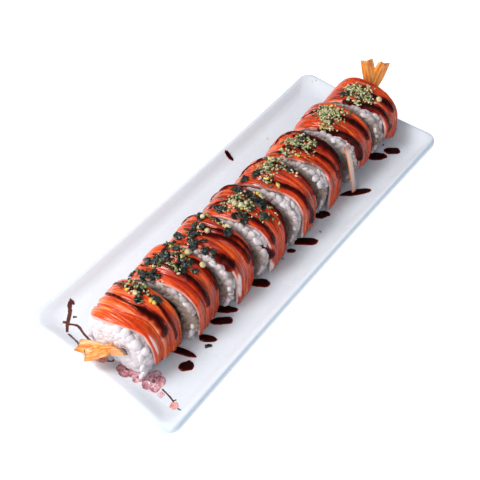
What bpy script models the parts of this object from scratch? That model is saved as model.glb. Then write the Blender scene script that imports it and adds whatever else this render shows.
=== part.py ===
"""A long uramaki roll, cut into eight slices and served on its white rectangular plate.

Each slice is a loaf of rice round a sheet of nori, a fried prawn and dark greens, under torn
strips of crab stick. Sauce and furikake lie on the strips, and a prawn's tail shows at each end.
Metres, +Z up, +X along the plate. The origin is under the middle of the plate's foot.
"""

import math
import random
from collections import namedtuple

import bmesh
import bpy
from mathutils import Matrix, Vector, noise
from mathutils.bvhtree import BVHTree

MM = 0.001
TAU = 2 * math.pi
GAP = 0.3  # between pieces that touch

# The plate, in millimetres.
PLATE_LENGTH = 256.0
PLATE_WIDTH = 105.0
PLATE_HEIGHT = 18.0
PLATE_FLOOR = 11.0
CORNER_RADIUS = 7.0
SIDE_HOLLOW = 1.2  # how far the middle of a side lies inside the line between its corners
FOOT_RECESS = 1.6
CORNER_STEPS, LONG_STEPS, SHORT_STEPS = 4, 6, 3

# The plate's turned-up section: inset from the outline along X and along Y, and height.
PLATE_SECTION = (
    (24.5, 22.5, FOOT_RECESS),
    (23.0, 21.0, 0.0),
    (19.0, 17.0, 0.0),
    (17.0, 15.0, 3.4),
    (6.0, 6.0, 10.2),
    (1.2, 1.2, 13.0),
    (0.0, 0.0, 14.2),
    (0.2, 0.2, 16.9),
    (1.3, 1.3, PLATE_HEIGHT),
    (2.8, 2.6, 17.8),
    (5.0, 4.2, 16.0),
    (8.2, 6.6, 13.0),
    (11.0, 9.0, 11.4),
    (13.5, 11.5, PLATE_FLOOR),
)

# The slices, near end first: where each stands on the plate, its turn about Z and its lean along
# the roll in degrees, its thickness, how much of that it gains for each millimetre towards +Y, half
# its width, how many strips lie over it, how much rice they leave bare at its near edge on the -Y
# side and on the +Y side. One end of the first and the last is closed.
Slice = namedtuple("Slice", "x y turn lean thick fan half strips bare bare_back cap seed")
SLICES = (
    Slice(-101.8, 0.5, 7, 6, 28.0, -0.0030, 22.5, 3, 6.5, 7.0, "near", 1),
    Slice(-73.5, -1.5, 11, 10, 25.0, 0.0030, 24.0, 3, 2.6, 0.0, None, 2),
    Slice(-46.0, -3.0, 10, 8, 24.5, 0.0035, 25.0, 2, 4.4, 0.0, None, 3),
    Slice(-18.0, -4.0, 9, 7, 25.0, 0.0035, 25.5, 3, 5.0, 0.0, None, 4),
    Slice(10.5, -4.5, 8, 6, 24.0, 0.0035, 25.5, 2, 6.6, 0.0, None, 5),
    Slice(39.0, -4.0, 10, 5, 24.5, 0.0035, 24.5, 3, 6.6, 0.0, None, 6),
    Slice(72.5, -3.5, 9, 0, 26.0, 0.0035, 24.5, 3, 7.0, 0.0, None, 7),
    Slice(103.3, -4.0, 6, -2, 25.6, 0.0035, 24.0, 3, 7.4, 0.0, "far", 8),
)

# The loaf's section, in millimetres.
LOAF_HEIGHT = 36.0
WAIST = 14.0  # height of the widest place
UNDERCUT = 22.0  # half height that the lower curve would reach uncut
ROUNDNESS = 2.3
BACK = 0.84  # half the width behind the ridge, against that in front of it
COVER = 2.2  # how far the strips stand out from the rice
HANG = 0.06  # how much a hanging strip moves out for each millimetre down
ARCH_STEPS, BASE_STEPS = 14, 3

# The filling: a flattened tube of nori round a prawn, with greens beside it.
CORE_HEIGHT = 17.0
CORE_HALF_WIDTH, CORE_HALF_HEIGHT = 12.5, 9.0
NORI_THICK = 0.9
CORE_STEPS = 10
CHORD = 0.45  # how far the filling's flat sides can lie inside its curve
PRAWN_SHIFT, PRAWN_HALF = 3.2, (7.2, 6.4)
CAP_DEPTH = 5.5
CAP_HOLE = 0.42  # size of the hole at a closed end, against the filling's
GRAIN_RELIEF = 0.8

# The strips of crab stick.
STRIP_THICK = 1.7
STRIP_LAP = 2.2
STRIP_UNDER = 0.5  # from the rice to a strip's inner face
STRIP_STEPS = 9

# Sauce and furikake.
STRAND_HALF_WIDTH, STRAND_HEIGHT, STRAND_STEPS = 1.5, 0.8, 5
# The lines of sauce on each slice: place along its thickness, -0.5 to 0.5, and where it starts and
# ends round the arch.
STRANDS = (
    ((0.06, 0.27, 0.60), (0.30, 0.18, 0.50)),
    ((-0.06, 0.22, 0.50), (0.38, 0.24, 0.46)),
    ((0.15, 0.26, 0.53), (0.36, 0.18, 0.50)),
    ((-0.18, 0.25, 0.48), (0.40, 0.16, 0.47)),
    ((-0.08, 0.18, 0.48), (0.40, 0.26, 0.54)),
    ((0.00, 0.24, 0.57), (0.33, 0.21, 0.53)),
    ((0.16, 0.27, 0.52), (-0.12, 0.20, 0.46)),
    ((0.14, 0.28, 0.52), (-0.08, 0.20, 0.44)),
)
RIDGE = 0.51  # where furikake lies, round the arch
FLAKE_THICK = 0.6
SEED_LENGTH, SEED_HALF_WIDTH = 2.9, 0.8
PEARL_RADIUS = 1.5
SUNK = 0.45

# The prawns' tails: the slice and end each comes out of, where it bends, and its blades. Of each
# blade, where it ends, the way its width runs and half that width.
Tail = namedtuple("Tail", "name slice_number end bend blades")
TAILS = (
    Tail("tail_near", 1, -1, (-118.0, 0.0, 28.0), (
        ((-123.5, 14.0, 25.5), (-0.85, -0.5, 0.0), 3.3),
        ((-126.0, 6.5, 26.5), (-0.85, -0.5, 0.0), 3.3),
        ((-114.0, -12.0, 37.0), (-0.1, 0.6, 0.8), 2.6),
    )),
    Tail("tail_far", 8, 1, (121.0, -3.0, 36.0), (
        ((119.0, 2.2, 57.0), (0.6, -0.8, 0.0), 3.4),
        ((125.0, -6.8, 56.0), (0.6, -0.8, 0.0), 3.4),
    )),
)
BLADE_THICK = 1.1
BLADE_STEPS = 4
BLADE_RISE = 0.25  # how much higher the second blade of a tail starts
STUB_RADIUS = 2.4
STUB_REACH = 3.2  # how far the stub runs straight out of the rice

# The loose strip that has slipped off the seventh slice's near edge and stands on the plate.
LOOSE_PATH = ((63.8, -21.3, 41.6), (62.6, -24.4, 37.8), (61.7, -26.5, 33.9), (61.2, -28.2, 29.3),
              (61.2, -30.2, 21.7), (61.4, -32.6, 11.6))
LOOSE_HALF_WIDTH, LOOSE_THICK = 2.4, 1.4


def clear_scene():
    for obj in list(bpy.data.objects):
        bpy.data.objects.remove(obj, do_unlink=True)


def material(name, colour, roughness):
    found = bpy.data.materials.get(name)
    if found:
        return found
    made = bpy.data.materials.new(name)
    made.use_nodes = True
    shader = made.node_tree.nodes["Principled BSDF"]
    shader.inputs["Base Color"].default_value = (*colour, 1.0)
    shader.inputs["Roughness"].default_value = roughness
    shader.inputs["Metallic"].default_value = 0.0
    return made


def mesh_object(name, build, finish, collection=None):
    """Makes a named object from what the build function adds to a new bmesh, in millimetres."""
    shape = bmesh.new()
    build(shape)
    bmesh.ops.recalc_face_normals(shape, faces=shape.faces)
    if shape.calc_volume(signed=True) < 0:
        bmesh.ops.reverse_faces(shape, faces=shape.faces)
    shape.transform(Matrix.Scale(MM, 4))
    mesh = bpy.data.meshes.new(name)
    shape.to_mesh(mesh)
    shape.free()
    mesh.materials.append(finish)
    obj = bpy.data.objects.new(name, mesh)
    (collection or bpy.context.scene.collection).objects.link(obj)
    return obj


def bridge(shape, first, second):
    """Joins two closed rings of as many vertices each with quads."""
    count = len(first)
    for i in range(count):
        j = (i + 1) % count
        shape.faces.new((first[i], first[j], second[j], second[i]))


def loft(shape, rings, closed=False):
    """Skins rings of points. A closed loft joins its last ring to its first, others get end caps."""
    made = [[shape.verts.new(p) for p in ring] for ring in rings]
    for first, second in zip(made, made[1:]):
        bridge(shape, first, second)
    if closed:
        bridge(shape, made[-1], made[0])
    else:
        shape.faces.new(list(reversed(made[0])))
        shape.faces.new(made[-1])


def smooth(t):
    t = min(1.0, max(0.0, t))
    return t * t * (3 - 2 * t)


def mix(a, b, t):
    return a + (b - a) * t


# The plate

def plate_ring(inset_x, inset_y, z):
    """A rounded rectangle whose sides bow inwards a little."""
    half_x, half_y = PLATE_LENGTH / 2 - inset_x, PLATE_WIDTH / 2 - inset_y
    radius = CORNER_RADIUS + 0.25 * inset_y
    points = []
    corners = ((1, 1), (-1, 1), (-1, -1), (1, -1))
    for number, (sign_x, sign_y) in enumerate(corners):
        centre = Vector((sign_x * (half_x - radius), sign_y * (half_y - radius)))
        start = number * math.pi / 2
        for i in range(CORNER_STEPS + 1):
            angle = start + (math.pi / 2) * i / CORNER_STEPS
            points.append(centre + radius * Vector((math.cos(angle), math.sin(angle))))
        long_side = number % 2 == 0
        steps = LONG_STEPS if long_side else SHORT_STEPS
        next_x, next_y = corners[(number + 1) % 4]
        end = Vector((next_x * (half_x - radius), next_y * (half_y - radius)))
        end += radius * Vector((math.cos(start + math.pi / 2), math.sin(start + math.pi / 2)))
        begin = points[-1].copy()
        inward = Vector((0, -sign_y)) if long_side else Vector((-sign_x, 0))
        for i in range(1, steps):
            t = i / steps
            points.append(begin.lerp(end, t) + inward * SIDE_HOLLOW * 4 * t * (1 - t))
    return [(p.x, p.y, z) for p in points]


def make_plate():
    def build(shape):
        loft(shape, [plate_ring(*row) for row in PLATE_SECTION])

    return mesh_object("plate", build, material("glazed_white", (0.86, 0.87, 0.90), 0.18))


# A slice's own frame: u along the roll, v across it towards +Y, w up from the plate's floor

def place(piece, u, v, w):
    """The point of the plate's frame for a point of the slice's frame."""
    along = u * (1 + piece.fan * v) + w * math.tan(math.radians(piece.lean))
    turn = math.radians(piece.turn)
    return Vector((piece.x + along * math.cos(turn) - v * math.sin(turn),
                   piece.y + along * math.sin(turn) + v * math.cos(turn),
                   PLATE_FLOOR + GAP + w))


def arch_point(half, height, s):
    """A point (v, w) of the loaf's outline, with s from 0 at the -Y foot over the top to 1."""
    low = math.asin((WAIST / UNDERCUT) ** (ROUNDNESS / 2))
    angle = -low + (math.pi + 2 * low) * s
    c, n = math.cos(angle), math.sin(angle)
    reach = height - WAIST if n > 0 else UNDERCUT
    side = half if c > 0 else BACK * half
    return Vector((-side * math.copysign(abs(c) ** (2 / ROUNDNESS), c),
                   WAIST + reach * math.copysign(abs(n) ** (2 / ROUNDNESS), n)))


def arch_normal(half, height, s):
    step = 0.004
    along = arch_point(half, height, min(1, s + step)) - arch_point(half, height, max(0, s - step))
    return Vector((-along.y, along.x)).normalized()


def on_cover(piece, u, s, offset):
    """A point of the strips: at a height over the rice, at u along the slice and s round its arch.

    Below the loaf's widest place on the -Y side they hang straight down, clear of the rice.
    """
    half, height = piece.half - COVER, LOAF_HEIGHT - COVER
    point, out = arch_point(half, height, s), arch_normal(half, height, s)
    if s < 0.5 and point.y < WAIST:
        point.x = -half - HANG * (WAIST - point.y)
        out = Vector((-1, 0))
    point += out * offset
    return place(piece, u, point.x, point.y)


# Rice

def rice_outline(piece):
    """The loaf's whole outline, arch and flat base, as (v, w) points."""
    half, height = piece.half - COVER, LOAF_HEIGHT - COVER
    arch = [arch_point(half, height, i / ARCH_STEPS) for i in range(ARCH_STEPS + 1)]
    base = [arch[-1].lerp(arch[0], i / BASE_STEPS) for i in range(1, BASE_STEPS)]
    return arch + base


def core_outline(scale, directions):
    """The filling's outline, read in the same directions from its centre as the loaf's points."""
    out = []
    for direction in directions:
        angle = math.atan2(direction.y / CORE_HALF_HEIGHT, direction.x / CORE_HALF_WIDTH)
        out.append(Vector((CORE_HALF_WIDTH * scale * math.cos(angle),
                           CORE_HEIGHT + CORE_HALF_HEIGHT * scale * math.sin(angle))))
    return out


def grain_bump(piece, point, depth):
    """Relief of about a grain's size, never outwards of the smooth loaf."""
    place_in_noise = Vector((point.x * 0.33, point.y * 0.33, piece.seed * 7.0 + depth * 0.21))
    return GRAIN_RELIEF * (noise.noise(place_in_noise) - 0.6)


def make_rice(piece, number):
    outline = rice_outline(piece)
    centre = Vector((0, CORE_HEIGHT))
    directions = [p - centre for p in outline]
    half_thick = piece.thick / 2
    open_hole = 1 + (NORI_THICK + GAP + CHORD) / CORE_HALF_HEIGHT

    def ring(u, spread, hole_scale, relief, rounding=0.0):
        """Points between the filling's outline (spread 0) and the loaf's (spread 1).

        Rounding draws a ring back from its end of the slice, and more so low down.
        """
        hole = core_outline(hole_scale, directions)
        out = []
        for edge, inner in zip(outline, hole):
            point = inner.lerp(edge, spread)
            bump = grain_bump(piece, point, u)
            if spread > 0.9:
                point = point + (centre - point).normalized() * abs(bump) * 0.5
                point.y = max(point.y, 0.0)
            back = relief * abs(bump) + rounding * (1 - 0.75 * smooth((point.y - 8) / 22))
            out.append(place(piece, u - math.copysign(back, u), point.x, point.y))
        return out

    def end_rings(side):
        """The rings of one end face, from the loaf's shoulder inwards."""
        closed = piece.cap == side
        sign = -1 if side == "near" else 1
        face = sign * half_thick
        hole = CAP_HOLE if closed else open_hole
        if closed:
            rings = [ring(face, 1.0, hole, 0, 8.5), ring(face, 0.95, hole, 1.2, 4.6),
                     ring(face, 0.72, hole, 1.4, 0.9), ring(face, 0.36, hole, 1.4),
                     ring(face - sign * 0.8, 0.0, hole, 0.4),
                     ring(face - sign * (CAP_DEPTH - 0.4), 0.0, hole, 0),
                     ring(face - sign * CAP_DEPTH, 0.0, open_hole, 0)]
        else:
            rings = [ring(face - sign * 1.6, 1.0, hole, 0), ring(face, 0.9, hole, 1),
                     ring(face, 0.45, hole, 1.3), ring(face, 0.0, hole, 0.4)]
        return rings

    def build(shape):
        near, far = end_rings("near"), end_rings("far")
        middle = [ring(0, 1.0, open_hole, 0)]
        loft(shape, list(reversed(near)) + middle + far, closed=True)

    return mesh_object(f"rice_{number}", build, material("rice", (0.83, 0.80, 0.80), 0.5))


# What runs through the rice

def core_span(piece):
    """How far the filling reaches towards each end of the slice."""
    near = -piece.thick / 2 + (CAP_DEPTH + GAP if piece.cap == "near" else 0.6)
    far = piece.thick / 2 - (CAP_DEPTH + GAP if piece.cap == "far" else 0.6)
    return near, far


def ellipse(centre, halves, steps, start=0.0, end=TAU, whole=True):
    count = steps if whole else steps + 1
    return [Vector((centre[0] + halves[0] * math.cos(start + (end - start) * i / steps),
                    centre[1] + halves[1] * math.sin(start + (end - start) * i / steps)))
            for i in range(count)]


def make_nori(piece, number):
    near, far = core_span(piece)
    outer = ellipse((0, CORE_HEIGHT), (CORE_HALF_WIDTH + NORI_THICK, CORE_HALF_HEIGHT + NORI_THICK), CORE_STEPS)
    inner = ellipse((0, CORE_HEIGHT), (CORE_HALF_WIDTH, CORE_HALF_HEIGHT), CORE_STEPS)

    def build(shape):
        rings = [[place(piece, u, p.x, p.y) for p in outline]
                 for outline, u in ((outer, near), (outer, far), (inner, far), (inner, near))]
        loft(shape, rings, closed=True)

    return mesh_object(f"nori_{number}", build, material("nori", (0.015, 0.025, 0.012), 0.45))


def make_prawn(piece, number):
    near, far = core_span(piece)
    outline = ellipse((PRAWN_SHIFT, CORE_HEIGHT), PRAWN_HALF, 10)

    def build(shape):
        rings = []
        for u, scale in ((near, 0.86), (near + 1.0, 1.0), (far - 1.0, 1.0), (far, 0.86)):
            middle = Vector((PRAWN_SHIFT, CORE_HEIGHT))
            rings.append([place(piece, u, *(middle + (p - middle) * scale)) for p in outline])
        loft(shape, rings)

    return mesh_object(f"prawn_{number}", build, material("fried_prawn", (0.55, 0.27, 0.10), 0.55))


def make_greens(piece, number):
    """A crescent of leaves between the prawn and the nori, on the -Y side."""
    near, far = core_span(piece)
    steps = 5
    reach = math.radians(60)
    outer = ellipse((0, CORE_HEIGHT), (CORE_HALF_WIDTH - GAP - CHORD, CORE_HALF_HEIGHT - GAP - CHORD), steps,
                    math.pi - reach, math.pi + reach, whole=False)
    inner = ellipse((PRAWN_SHIFT, CORE_HEIGHT), (PRAWN_HALF[0] + GAP + 0.1, PRAWN_HALF[1] + GAP + 0.1), steps,
                    math.pi + reach, math.pi - reach, whole=False)

    def build(shape):
        rings = []
        for u in (near, far):
            ring = []
            for i, p in enumerate(outer + inner):
                ruffle = 0.5 * math.sin(2.3 * i + piece.seed) if u == near else 0.0
                ring.append(place(piece, u + ruffle, p.x, p.y))
            rings.append(ring)
        loft(shape, rings)

    return mesh_object(f"greens_{number}", build, material("greens", (0.05, 0.075, 0.02), 0.5))


# Crab stick, sauce and furikake

def strip_span(piece, index, s):
    """The near and far edge of a strip along the slice, each lapping over the one before."""
    near = (-piece.thick / 2 + 0.3 + piece.bare * (1 - smooth((s - 0.30) / 0.26))
            + piece.bare_back * smooth((s - 0.62) / 0.2))
    far = piece.thick / 2 + 0.1
    width = (far - near + STRIP_LAP * (piece.strips - 1)) / piece.strips
    start = near + index * (width - STRIP_LAP)
    return start, start + width


def build_strip(shape, piece, index):
    """A strip over the arch, thick in the middle and thin at its edges, drawn in at its ends."""
    draw = random.Random(piece.seed * 10 + index)
    first_end, last_end = draw.uniform(0.005, 0.025), draw.uniform(0.86, 0.93)
    lift = 0.0 if index == 0 else 0.75
    rings = []
    for i in range(STRIP_STEPS + 1):
        t = i / STRIP_STEPS
        s = mix(first_end, last_end, t)
        start, end = strip_span(piece, index, s)
        wave = noise.noise(Vector((s * 4.5, piece.seed * 3.1, index * 5.3)))
        tuck = 0.4 * (1 - smooth(t / 0.15)) + 1.6 * (1 - smooth((1 - t) / 0.15))
        middle = (start + end) / 2
        half = (end - start) / 2 - tuck + 0.3 * wave
        thick = STRIP_THICK * (1 + 0.15 * wave)
        top = (
            (-1.0, lift + 0.45 * thick),
            (-0.6, 0.8 * lift + thick),
            (0.5, 0.2 * lift + thick),
            (1.0, 0.4 * thick),
        )
        below = ((1.0, 0.0), (-1.0, lift))
        rings.append([on_cover(piece, middle + half * across, s, STRIP_UNDER + height)
                      for across, height in top + below])
    loft(shape, rings)


def surface_of(objects):
    """A tree of every face of these objects, in millimetres, to lay things on."""
    points, faces = [], []
    for obj in objects:
        start = len(points)
        points += [v.co / MM for v in obj.data.vertices]
        faces += [[start + i for i in p.vertices] for p in obj.data.polygons]
    return BVHTree.FromPolygons(points, faces)


def laid(surface, piece, u, s):
    """The point on top of the strips at u and s, and the way out of them, or nothing over a hole."""
    above, below = on_cover(piece, u, s, 9.0), on_cover(piece, u, s, 0.2)
    point, _, _, _ = surface.ray_cast(above, (below - above).normalized(), (above - below).length)
    return point, (above - below).normalized()


def build_strand(shape, surface, piece, u, first, last):
    """A thick line of sauce over the strips, blunt at its ends and half sunk in them."""
    rings = []
    for i in range(STRAND_STEPS + 1):
        t = i / STRAND_STEPS
        s = mix(first, last, t)
        sway = 0.7 * math.sin(3.5 * t + piece.seed)
        point, out = laid(surface, piece, u + sway, s)
        if point is None:
            continue
        ahead = (on_cover(piece, u + sway, s + 0.01, 1.0) - on_cover(piece, u + sway, s - 0.01, 1.0)).normalized()
        side = out.cross(ahead)
        end = math.sin(math.pi * min(1.0, 0.14 + 3.2 * min(t, 1 - t)) / 2)
        half, top = STRAND_HALF_WIDTH * end, STRAND_HEIGHT * end
        rings.append([point + side * a * half + out * b for a, b in
                      ((-1, 0.05), (-0.55, top * 0.8), (0.55, top * 0.8), (1, 0.05), (0, -SUNK - 0.25))])
    loft(shape, rings)


def build_flake(shape, point, out, draw):
    """A torn scrap of nori, tilted a little out of the surface."""
    tilt = Matrix.Rotation(draw.uniform(-0.35, 0.35), 3, Vector((draw.uniform(-1, 1), draw.uniform(-1, 1), 0.1)))
    across = tilt @ out.orthogonal().normalized()
    spin = Matrix.Rotation(draw.uniform(0, TAU), 3, out)
    across = spin @ across
    up = tilt @ out
    other = up.cross(across)
    half = (draw.uniform(1.6, 2.9), draw.uniform(1.1, 2.1))
    corners = [(-1, -0.8), (0.7, -1), (1, 0.5), (0.1, 1), (-0.9, 0.7)]
    flat = [point + across * a * half[0] + other * b * half[1] for a, b in corners]
    loft(shape, [[p - up * SUNK for p in flat], [p + up * (FLAKE_THICK - SUNK + 0.45) for p in flat]])


def build_seed(shape, point, out, draw):
    """A sesame seed lying on the surface: a stretched double cone of four sides."""
    along = (Matrix.Rotation(draw.uniform(0, TAU), 3, out) @ out.orthogonal()).normalized()
    side = out.cross(along)
    size = draw.uniform(0.85, 1.15)
    middle = point + out * (SEED_HALF_WIDTH * size - SUNK)
    belt = [shape.verts.new(middle + (side * math.cos(a) + out * math.sin(a)) * SEED_HALF_WIDTH * size)
            for a in (0, math.pi / 2, math.pi, 3 * math.pi / 2)]
    for sign in (-1, 1):
        tip = shape.verts.new(middle + along * sign * SEED_LENGTH * size / 2)
        for i in range(4):
            shape.faces.new((belt[i], belt[(i + 1) % 4], tip))


def build_pearl(shape, point, out, _):
    place_at = Matrix.Translation(point + out * (PEARL_RADIUS - SUNK))
    bmesh.ops.create_icosphere(shape, subdivisions=1, radius=PEARL_RADIUS, matrix=place_at)


# Kinds of furikake on a slice, with how many of each and how widely they spread round the arch.
FURIKAKE = ((build_flake, 3, 0.07), (build_seed, 5, 0.08), (build_pearl, 1, 0.05))


def scatter(piece, number, surface, made_in, finish):
    """Furikake along the top of the slice."""
    draw = random.Random(100 + piece.seed)
    objects = []
    for kind, (build_one, count, spread) in enumerate(FURIKAKE):
        for i in range(count):
            u = draw.uniform(-0.36, 0.40) * piece.thick
            s = RIDGE + draw.uniform(-spread, spread)
            point, out = laid(surface, piece, u, s)
            if point is None:
                continue
            objects.append(mesh_object(
                f"topping_{number}_{kind}_{i}",
                lambda shape: build_one(shape, point, out, draw), finish, made_in))
    return objects


def keep_largest(mesh):
    """Drops loose scraps that a union leaves beside the main body."""
    shape = bmesh.new()
    shape.from_mesh(mesh)
    shape.verts.ensure_lookup_table()
    unseen, islands = set(shape.verts), []
    while unseen:
        stack, island = [unseen.pop()], []
        while stack:
            vert = stack.pop()
            island.append(vert)
            for edge in vert.link_edges:
                other = edge.other_vert(vert)
                if other in unseen:
                    unseen.remove(other)
                    stack.append(other)
        islands.append(island)
    largest = max(islands, key=len)
    bmesh.ops.delete(shape, geom=[v for island in islands if island is not largest for v in island], context="VERTS")
    shape.to_mesh(mesh)
    shape.free()


def fuse(base, collection):
    """Joins everything in the collection to the base object, and removes the collection."""
    joining = base.modifiers.new("fuse", "BOOLEAN")
    joining.operation = "UNION"
    joining.operand_type = "COLLECTION"
    joining.collection = collection
    joining.solver = "MANIFOLD"
    graph = bpy.context.evaluated_depsgraph_get()
    graph.update()
    joined = bpy.data.meshes.new_from_object(base.evaluated_get(graph))
    base.modifiers.clear()
    base.data = joined
    for obj in list(collection.objects):
        bpy.data.objects.remove(obj, do_unlink=True)
    bpy.data.collections.remove(collection)
    keep_largest(joined)
    joined.shade_smooth()


def make_crab(piece, number):
    finish = material("crab_stick", (0.80, 0.11, 0.025), 0.35)
    extras = bpy.data.collections.new(f"on_slice_{number}")
    bpy.context.scene.collection.children.link(extras)
    strips = []
    for index in range(piece.strips):
        strips.append(mesh_object(f"crab_{number}" if index == 0 else f"strip_{number}_{index}",
                                  lambda shape: build_strip(shape, piece, index), finish,
                                  None if index == 0 else extras))
    surface = surface_of(strips)
    for index, (along, first, last) in enumerate(STRANDS[number - 1]):
        mesh_object(f"strand_{number}_{index}",
                    lambda shape: build_strand(shape, surface, piece, along * piece.thick, first, last),
                    finish, extras)
    scatter(piece, number, surface, extras, finish)
    fuse(strips[0], extras)
    return strips[0]


# Tails and the loose strip

def ribbon_ring(point, ahead, across, half, thick, ridge):
    """A flat six-sided section with a ridge along its middle."""
    up = across.cross(ahead).normalized()
    return [point + across * a * half + up * b * thick for a, b in
            ((-1, 0), (-0.5, 0.5), (0, 0.5 + ridge), (0.5, 0.5), (1, 0), (0, -0.5))]


def build_blade(shape, root, tip, across, half):
    """One side of the tail fan: narrow where it leaves the stub, widest near its blunt end."""
    tip = Vector(tip)
    ahead = (tip - root).normalized()
    across = Vector(across)
    across = (across - ahead * across.dot(ahead)).normalized()
    start = root - ahead * 1.5
    rings = []
    for i in range(BLADE_STEPS + 1):
        t = i / BLADE_STEPS
        width = half * (0.42 + 0.72 * math.sin(math.pi * (0.08 + 0.62 * t)) - 0.28 * smooth((t - 0.8) / 0.2))
        rings.append(ribbon_ring(start.lerp(tip, t), ahead, across, width, BLADE_THICK, 0.5))
    loft(shape, rings)


def build_stub(shape, path):
    """The tail's round root along a short path, thinner towards the blades."""
    rings = []
    for i, point in enumerate(path):
        ahead = (path[min(i + 1, len(path) - 1)] - path[max(i - 1, 0)]).normalized()
        side = Vector((0, 1, 0)).cross(ahead).normalized()
        other = ahead.cross(side)
        radius = STUB_RADIUS * (1 - 0.12 * i)
        rings.append([point + (side * math.cos(TAU * k / 8) + other * math.sin(TAU * k / 8)) * radius
                      for k in range(8)])
    loft(shape, rings)


def make_tail(tail):
    finish = material("prawn_tail", (0.86, 0.36, 0.05), 0.4)
    blades = bpy.data.collections.new(f"blades_{tail.name}")
    bpy.context.scene.collection.children.link(blades)
    piece = SLICES[tail.slice_number - 1]
    path = [place(piece, tail.end * (piece.thick / 2 + out), 0, CORE_HEIGHT)
            for out in (0.4 - CAP_DEPTH, STUB_REACH)] + [Vector(tail.bend)]
    base = mesh_object(tail.name, lambda shape: build_stub(shape, path), finish)
    for number, (tip, across, half) in enumerate(tail.blades):
        root = path[-1] + Vector((0, 0, BLADE_RISE * number))
        mesh_object(f"blade_{tail.name}_{number}",
                    lambda shape: build_blade(shape, root, tip, across, half), finish, blades)
    fuse(base, blades)
    return base


def make_loose_strip():
    path = [Vector(p) for p in LOOSE_PATH]

    def build(shape):
        rings = []
        for i, point in enumerate(path):
            ahead = (path[min(i + 1, len(path) - 1)] - path[max(i - 1, 0)]).normalized()
            across = Vector((1, 0, 0))
            across = (across - ahead * across.dot(ahead)).normalized()
            rings.append(ribbon_ring(point, ahead, across, LOOSE_HALF_WIDTH, LOOSE_THICK, 0.1))
        loft(shape, rings)

    return mesh_object("crab_loose", build, material("crab_stick", (0.80, 0.11, 0.025), 0.35))


def main():
    clear_scene()
    make_plate()
    for number, piece in enumerate(SLICES, start=1):
        make_rice(piece, number)
        make_nori(piece, number)
        make_prawn(piece, number)
        make_greens(piece, number)
        make_crab(piece, number)
    for tail in TAILS:
        make_tail(tail)
    make_loose_strip()


main()
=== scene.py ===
"""Dresses the uramaki roll and its plate: glazed plate, loose rice grains, fibrous crab stick, sauce
and furikake. Lengths are in millimetres until a mesh is made, and in metres after that.
"""
import math
import random
from collections import namedtuple

import bmesh
import bpy
import numpy as np
from mathutils import Matrix, Vector, noise
from mathutils.bvhtree import BVHTree


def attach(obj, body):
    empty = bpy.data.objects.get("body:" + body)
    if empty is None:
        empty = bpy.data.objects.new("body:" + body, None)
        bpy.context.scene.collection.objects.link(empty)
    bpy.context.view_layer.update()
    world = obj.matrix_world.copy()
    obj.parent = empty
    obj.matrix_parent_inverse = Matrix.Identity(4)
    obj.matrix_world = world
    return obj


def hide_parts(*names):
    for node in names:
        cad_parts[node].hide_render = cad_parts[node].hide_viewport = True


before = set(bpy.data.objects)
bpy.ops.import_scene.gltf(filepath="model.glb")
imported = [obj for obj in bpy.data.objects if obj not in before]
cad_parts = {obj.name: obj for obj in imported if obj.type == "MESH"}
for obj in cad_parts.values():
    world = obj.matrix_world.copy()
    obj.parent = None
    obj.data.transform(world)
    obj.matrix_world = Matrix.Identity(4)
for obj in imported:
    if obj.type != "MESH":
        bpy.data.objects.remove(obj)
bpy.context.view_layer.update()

MM = 0.001
TAU = 2 * math.pi

# The part's own values, which the pieces here follow.
PLATE_LENGTH, PLATE_WIDTH, PLATE_FLOOR = 256.0, 105.0, 11.0
CORNER_RADIUS, SIDE_HOLLOW = 7.0, 1.2
PLATE_SECTION = (
    (24.5, 22.5, 1.6), (23.0, 21.0, 0.0), (19.0, 17.0, 0.0), (17.0, 15.0, 3.4), (6.0, 6.0, 10.2),
    (1.2, 1.2, 13.0), (0.0, 0.0, 14.2), (0.2, 0.2, 16.9), (1.3, 1.3, 18.0), (2.8, 2.6, 17.8),
    (5.0, 4.2, 16.0), (8.2, 6.6, 13.0), (11.0, 9.0, 11.4), (13.5, 11.5, 11.0),
)
Slice = namedtuple("Slice", "x y turn lean thick fan half strips bare bare_back cap number")
SLICES = [Slice(*values, number) for number, values in enumerate((
    (-101.8, 0.5, 7, 6, 28.0, -0.0030, 22.5, 3, 6.5, 7.0, "near"),
    (-73.5, -1.5, 11, 10, 25.0, 0.0030, 24.0, 3, 2.6, 0.0, None),
    (-46.0, -3.0, 10, 8, 24.5, 0.0035, 25.0, 2, 4.4, 0.0, None),
    (-18.0, -4.0, 9, 7, 25.0, 0.0035, 25.5, 3, 5.0, 0.0, None),
    (10.5, -4.5, 8, 6, 24.0, 0.0035, 25.5, 2, 6.6, 0.0, None),
    (39.0, -4.0, 10, 5, 24.5, 0.0035, 24.5, 3, 6.6, 0.0, None),
    (72.5, -3.5, 9, 0, 26.0, 0.0035, 24.5, 3, 7.0, 0.0, None),
    (103.3, -4.0, 6, -2, 25.6, 0.0035, 24.0, 3, 7.4, 0.0, "far"),
), start=1)]
GAP, LOAF_HEIGHT, WAIST, UNDERCUT, ROUNDNESS, COVER, HANG = 0.3, 36.0, 14.0, 22.0, 2.3, 2.2, 0.06
BACK = 0.84  # half the width behind the ridge, against that in front of it
CORE_HEIGHT, CORE_HALF = 17.0, (12.5, 9.0)
STRIP_LAP, STRIP_UNDER = 2.2, 0.5
ARCH_LENGTH = 92.0


# Shapes of the part, for arrays of points

def smooth(t):
    t = np.clip(t, 0, 1)
    return t * t * (3 - 2 * t)


def mix(a, b, t):
    return a + (b - a) * t


def blunt(c, power):
    """Raises c to a power and keeps its sign: below 1, that squares up a circle."""
    return np.sign(c) * np.abs(c) ** power


def turned(piece, u, v, w):
    """A direction in the part's frame, from one along, across and up a slice."""
    u, v, w = np.broadcast_arrays(*(np.asarray(c, float) for c in (u, v, w)))
    cos, sin = math.cos(math.radians(piece.turn)), math.sin(math.radians(piece.turn))
    return np.stack([u * cos - v * sin, u * sin + v * cos, w], -1)


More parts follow.
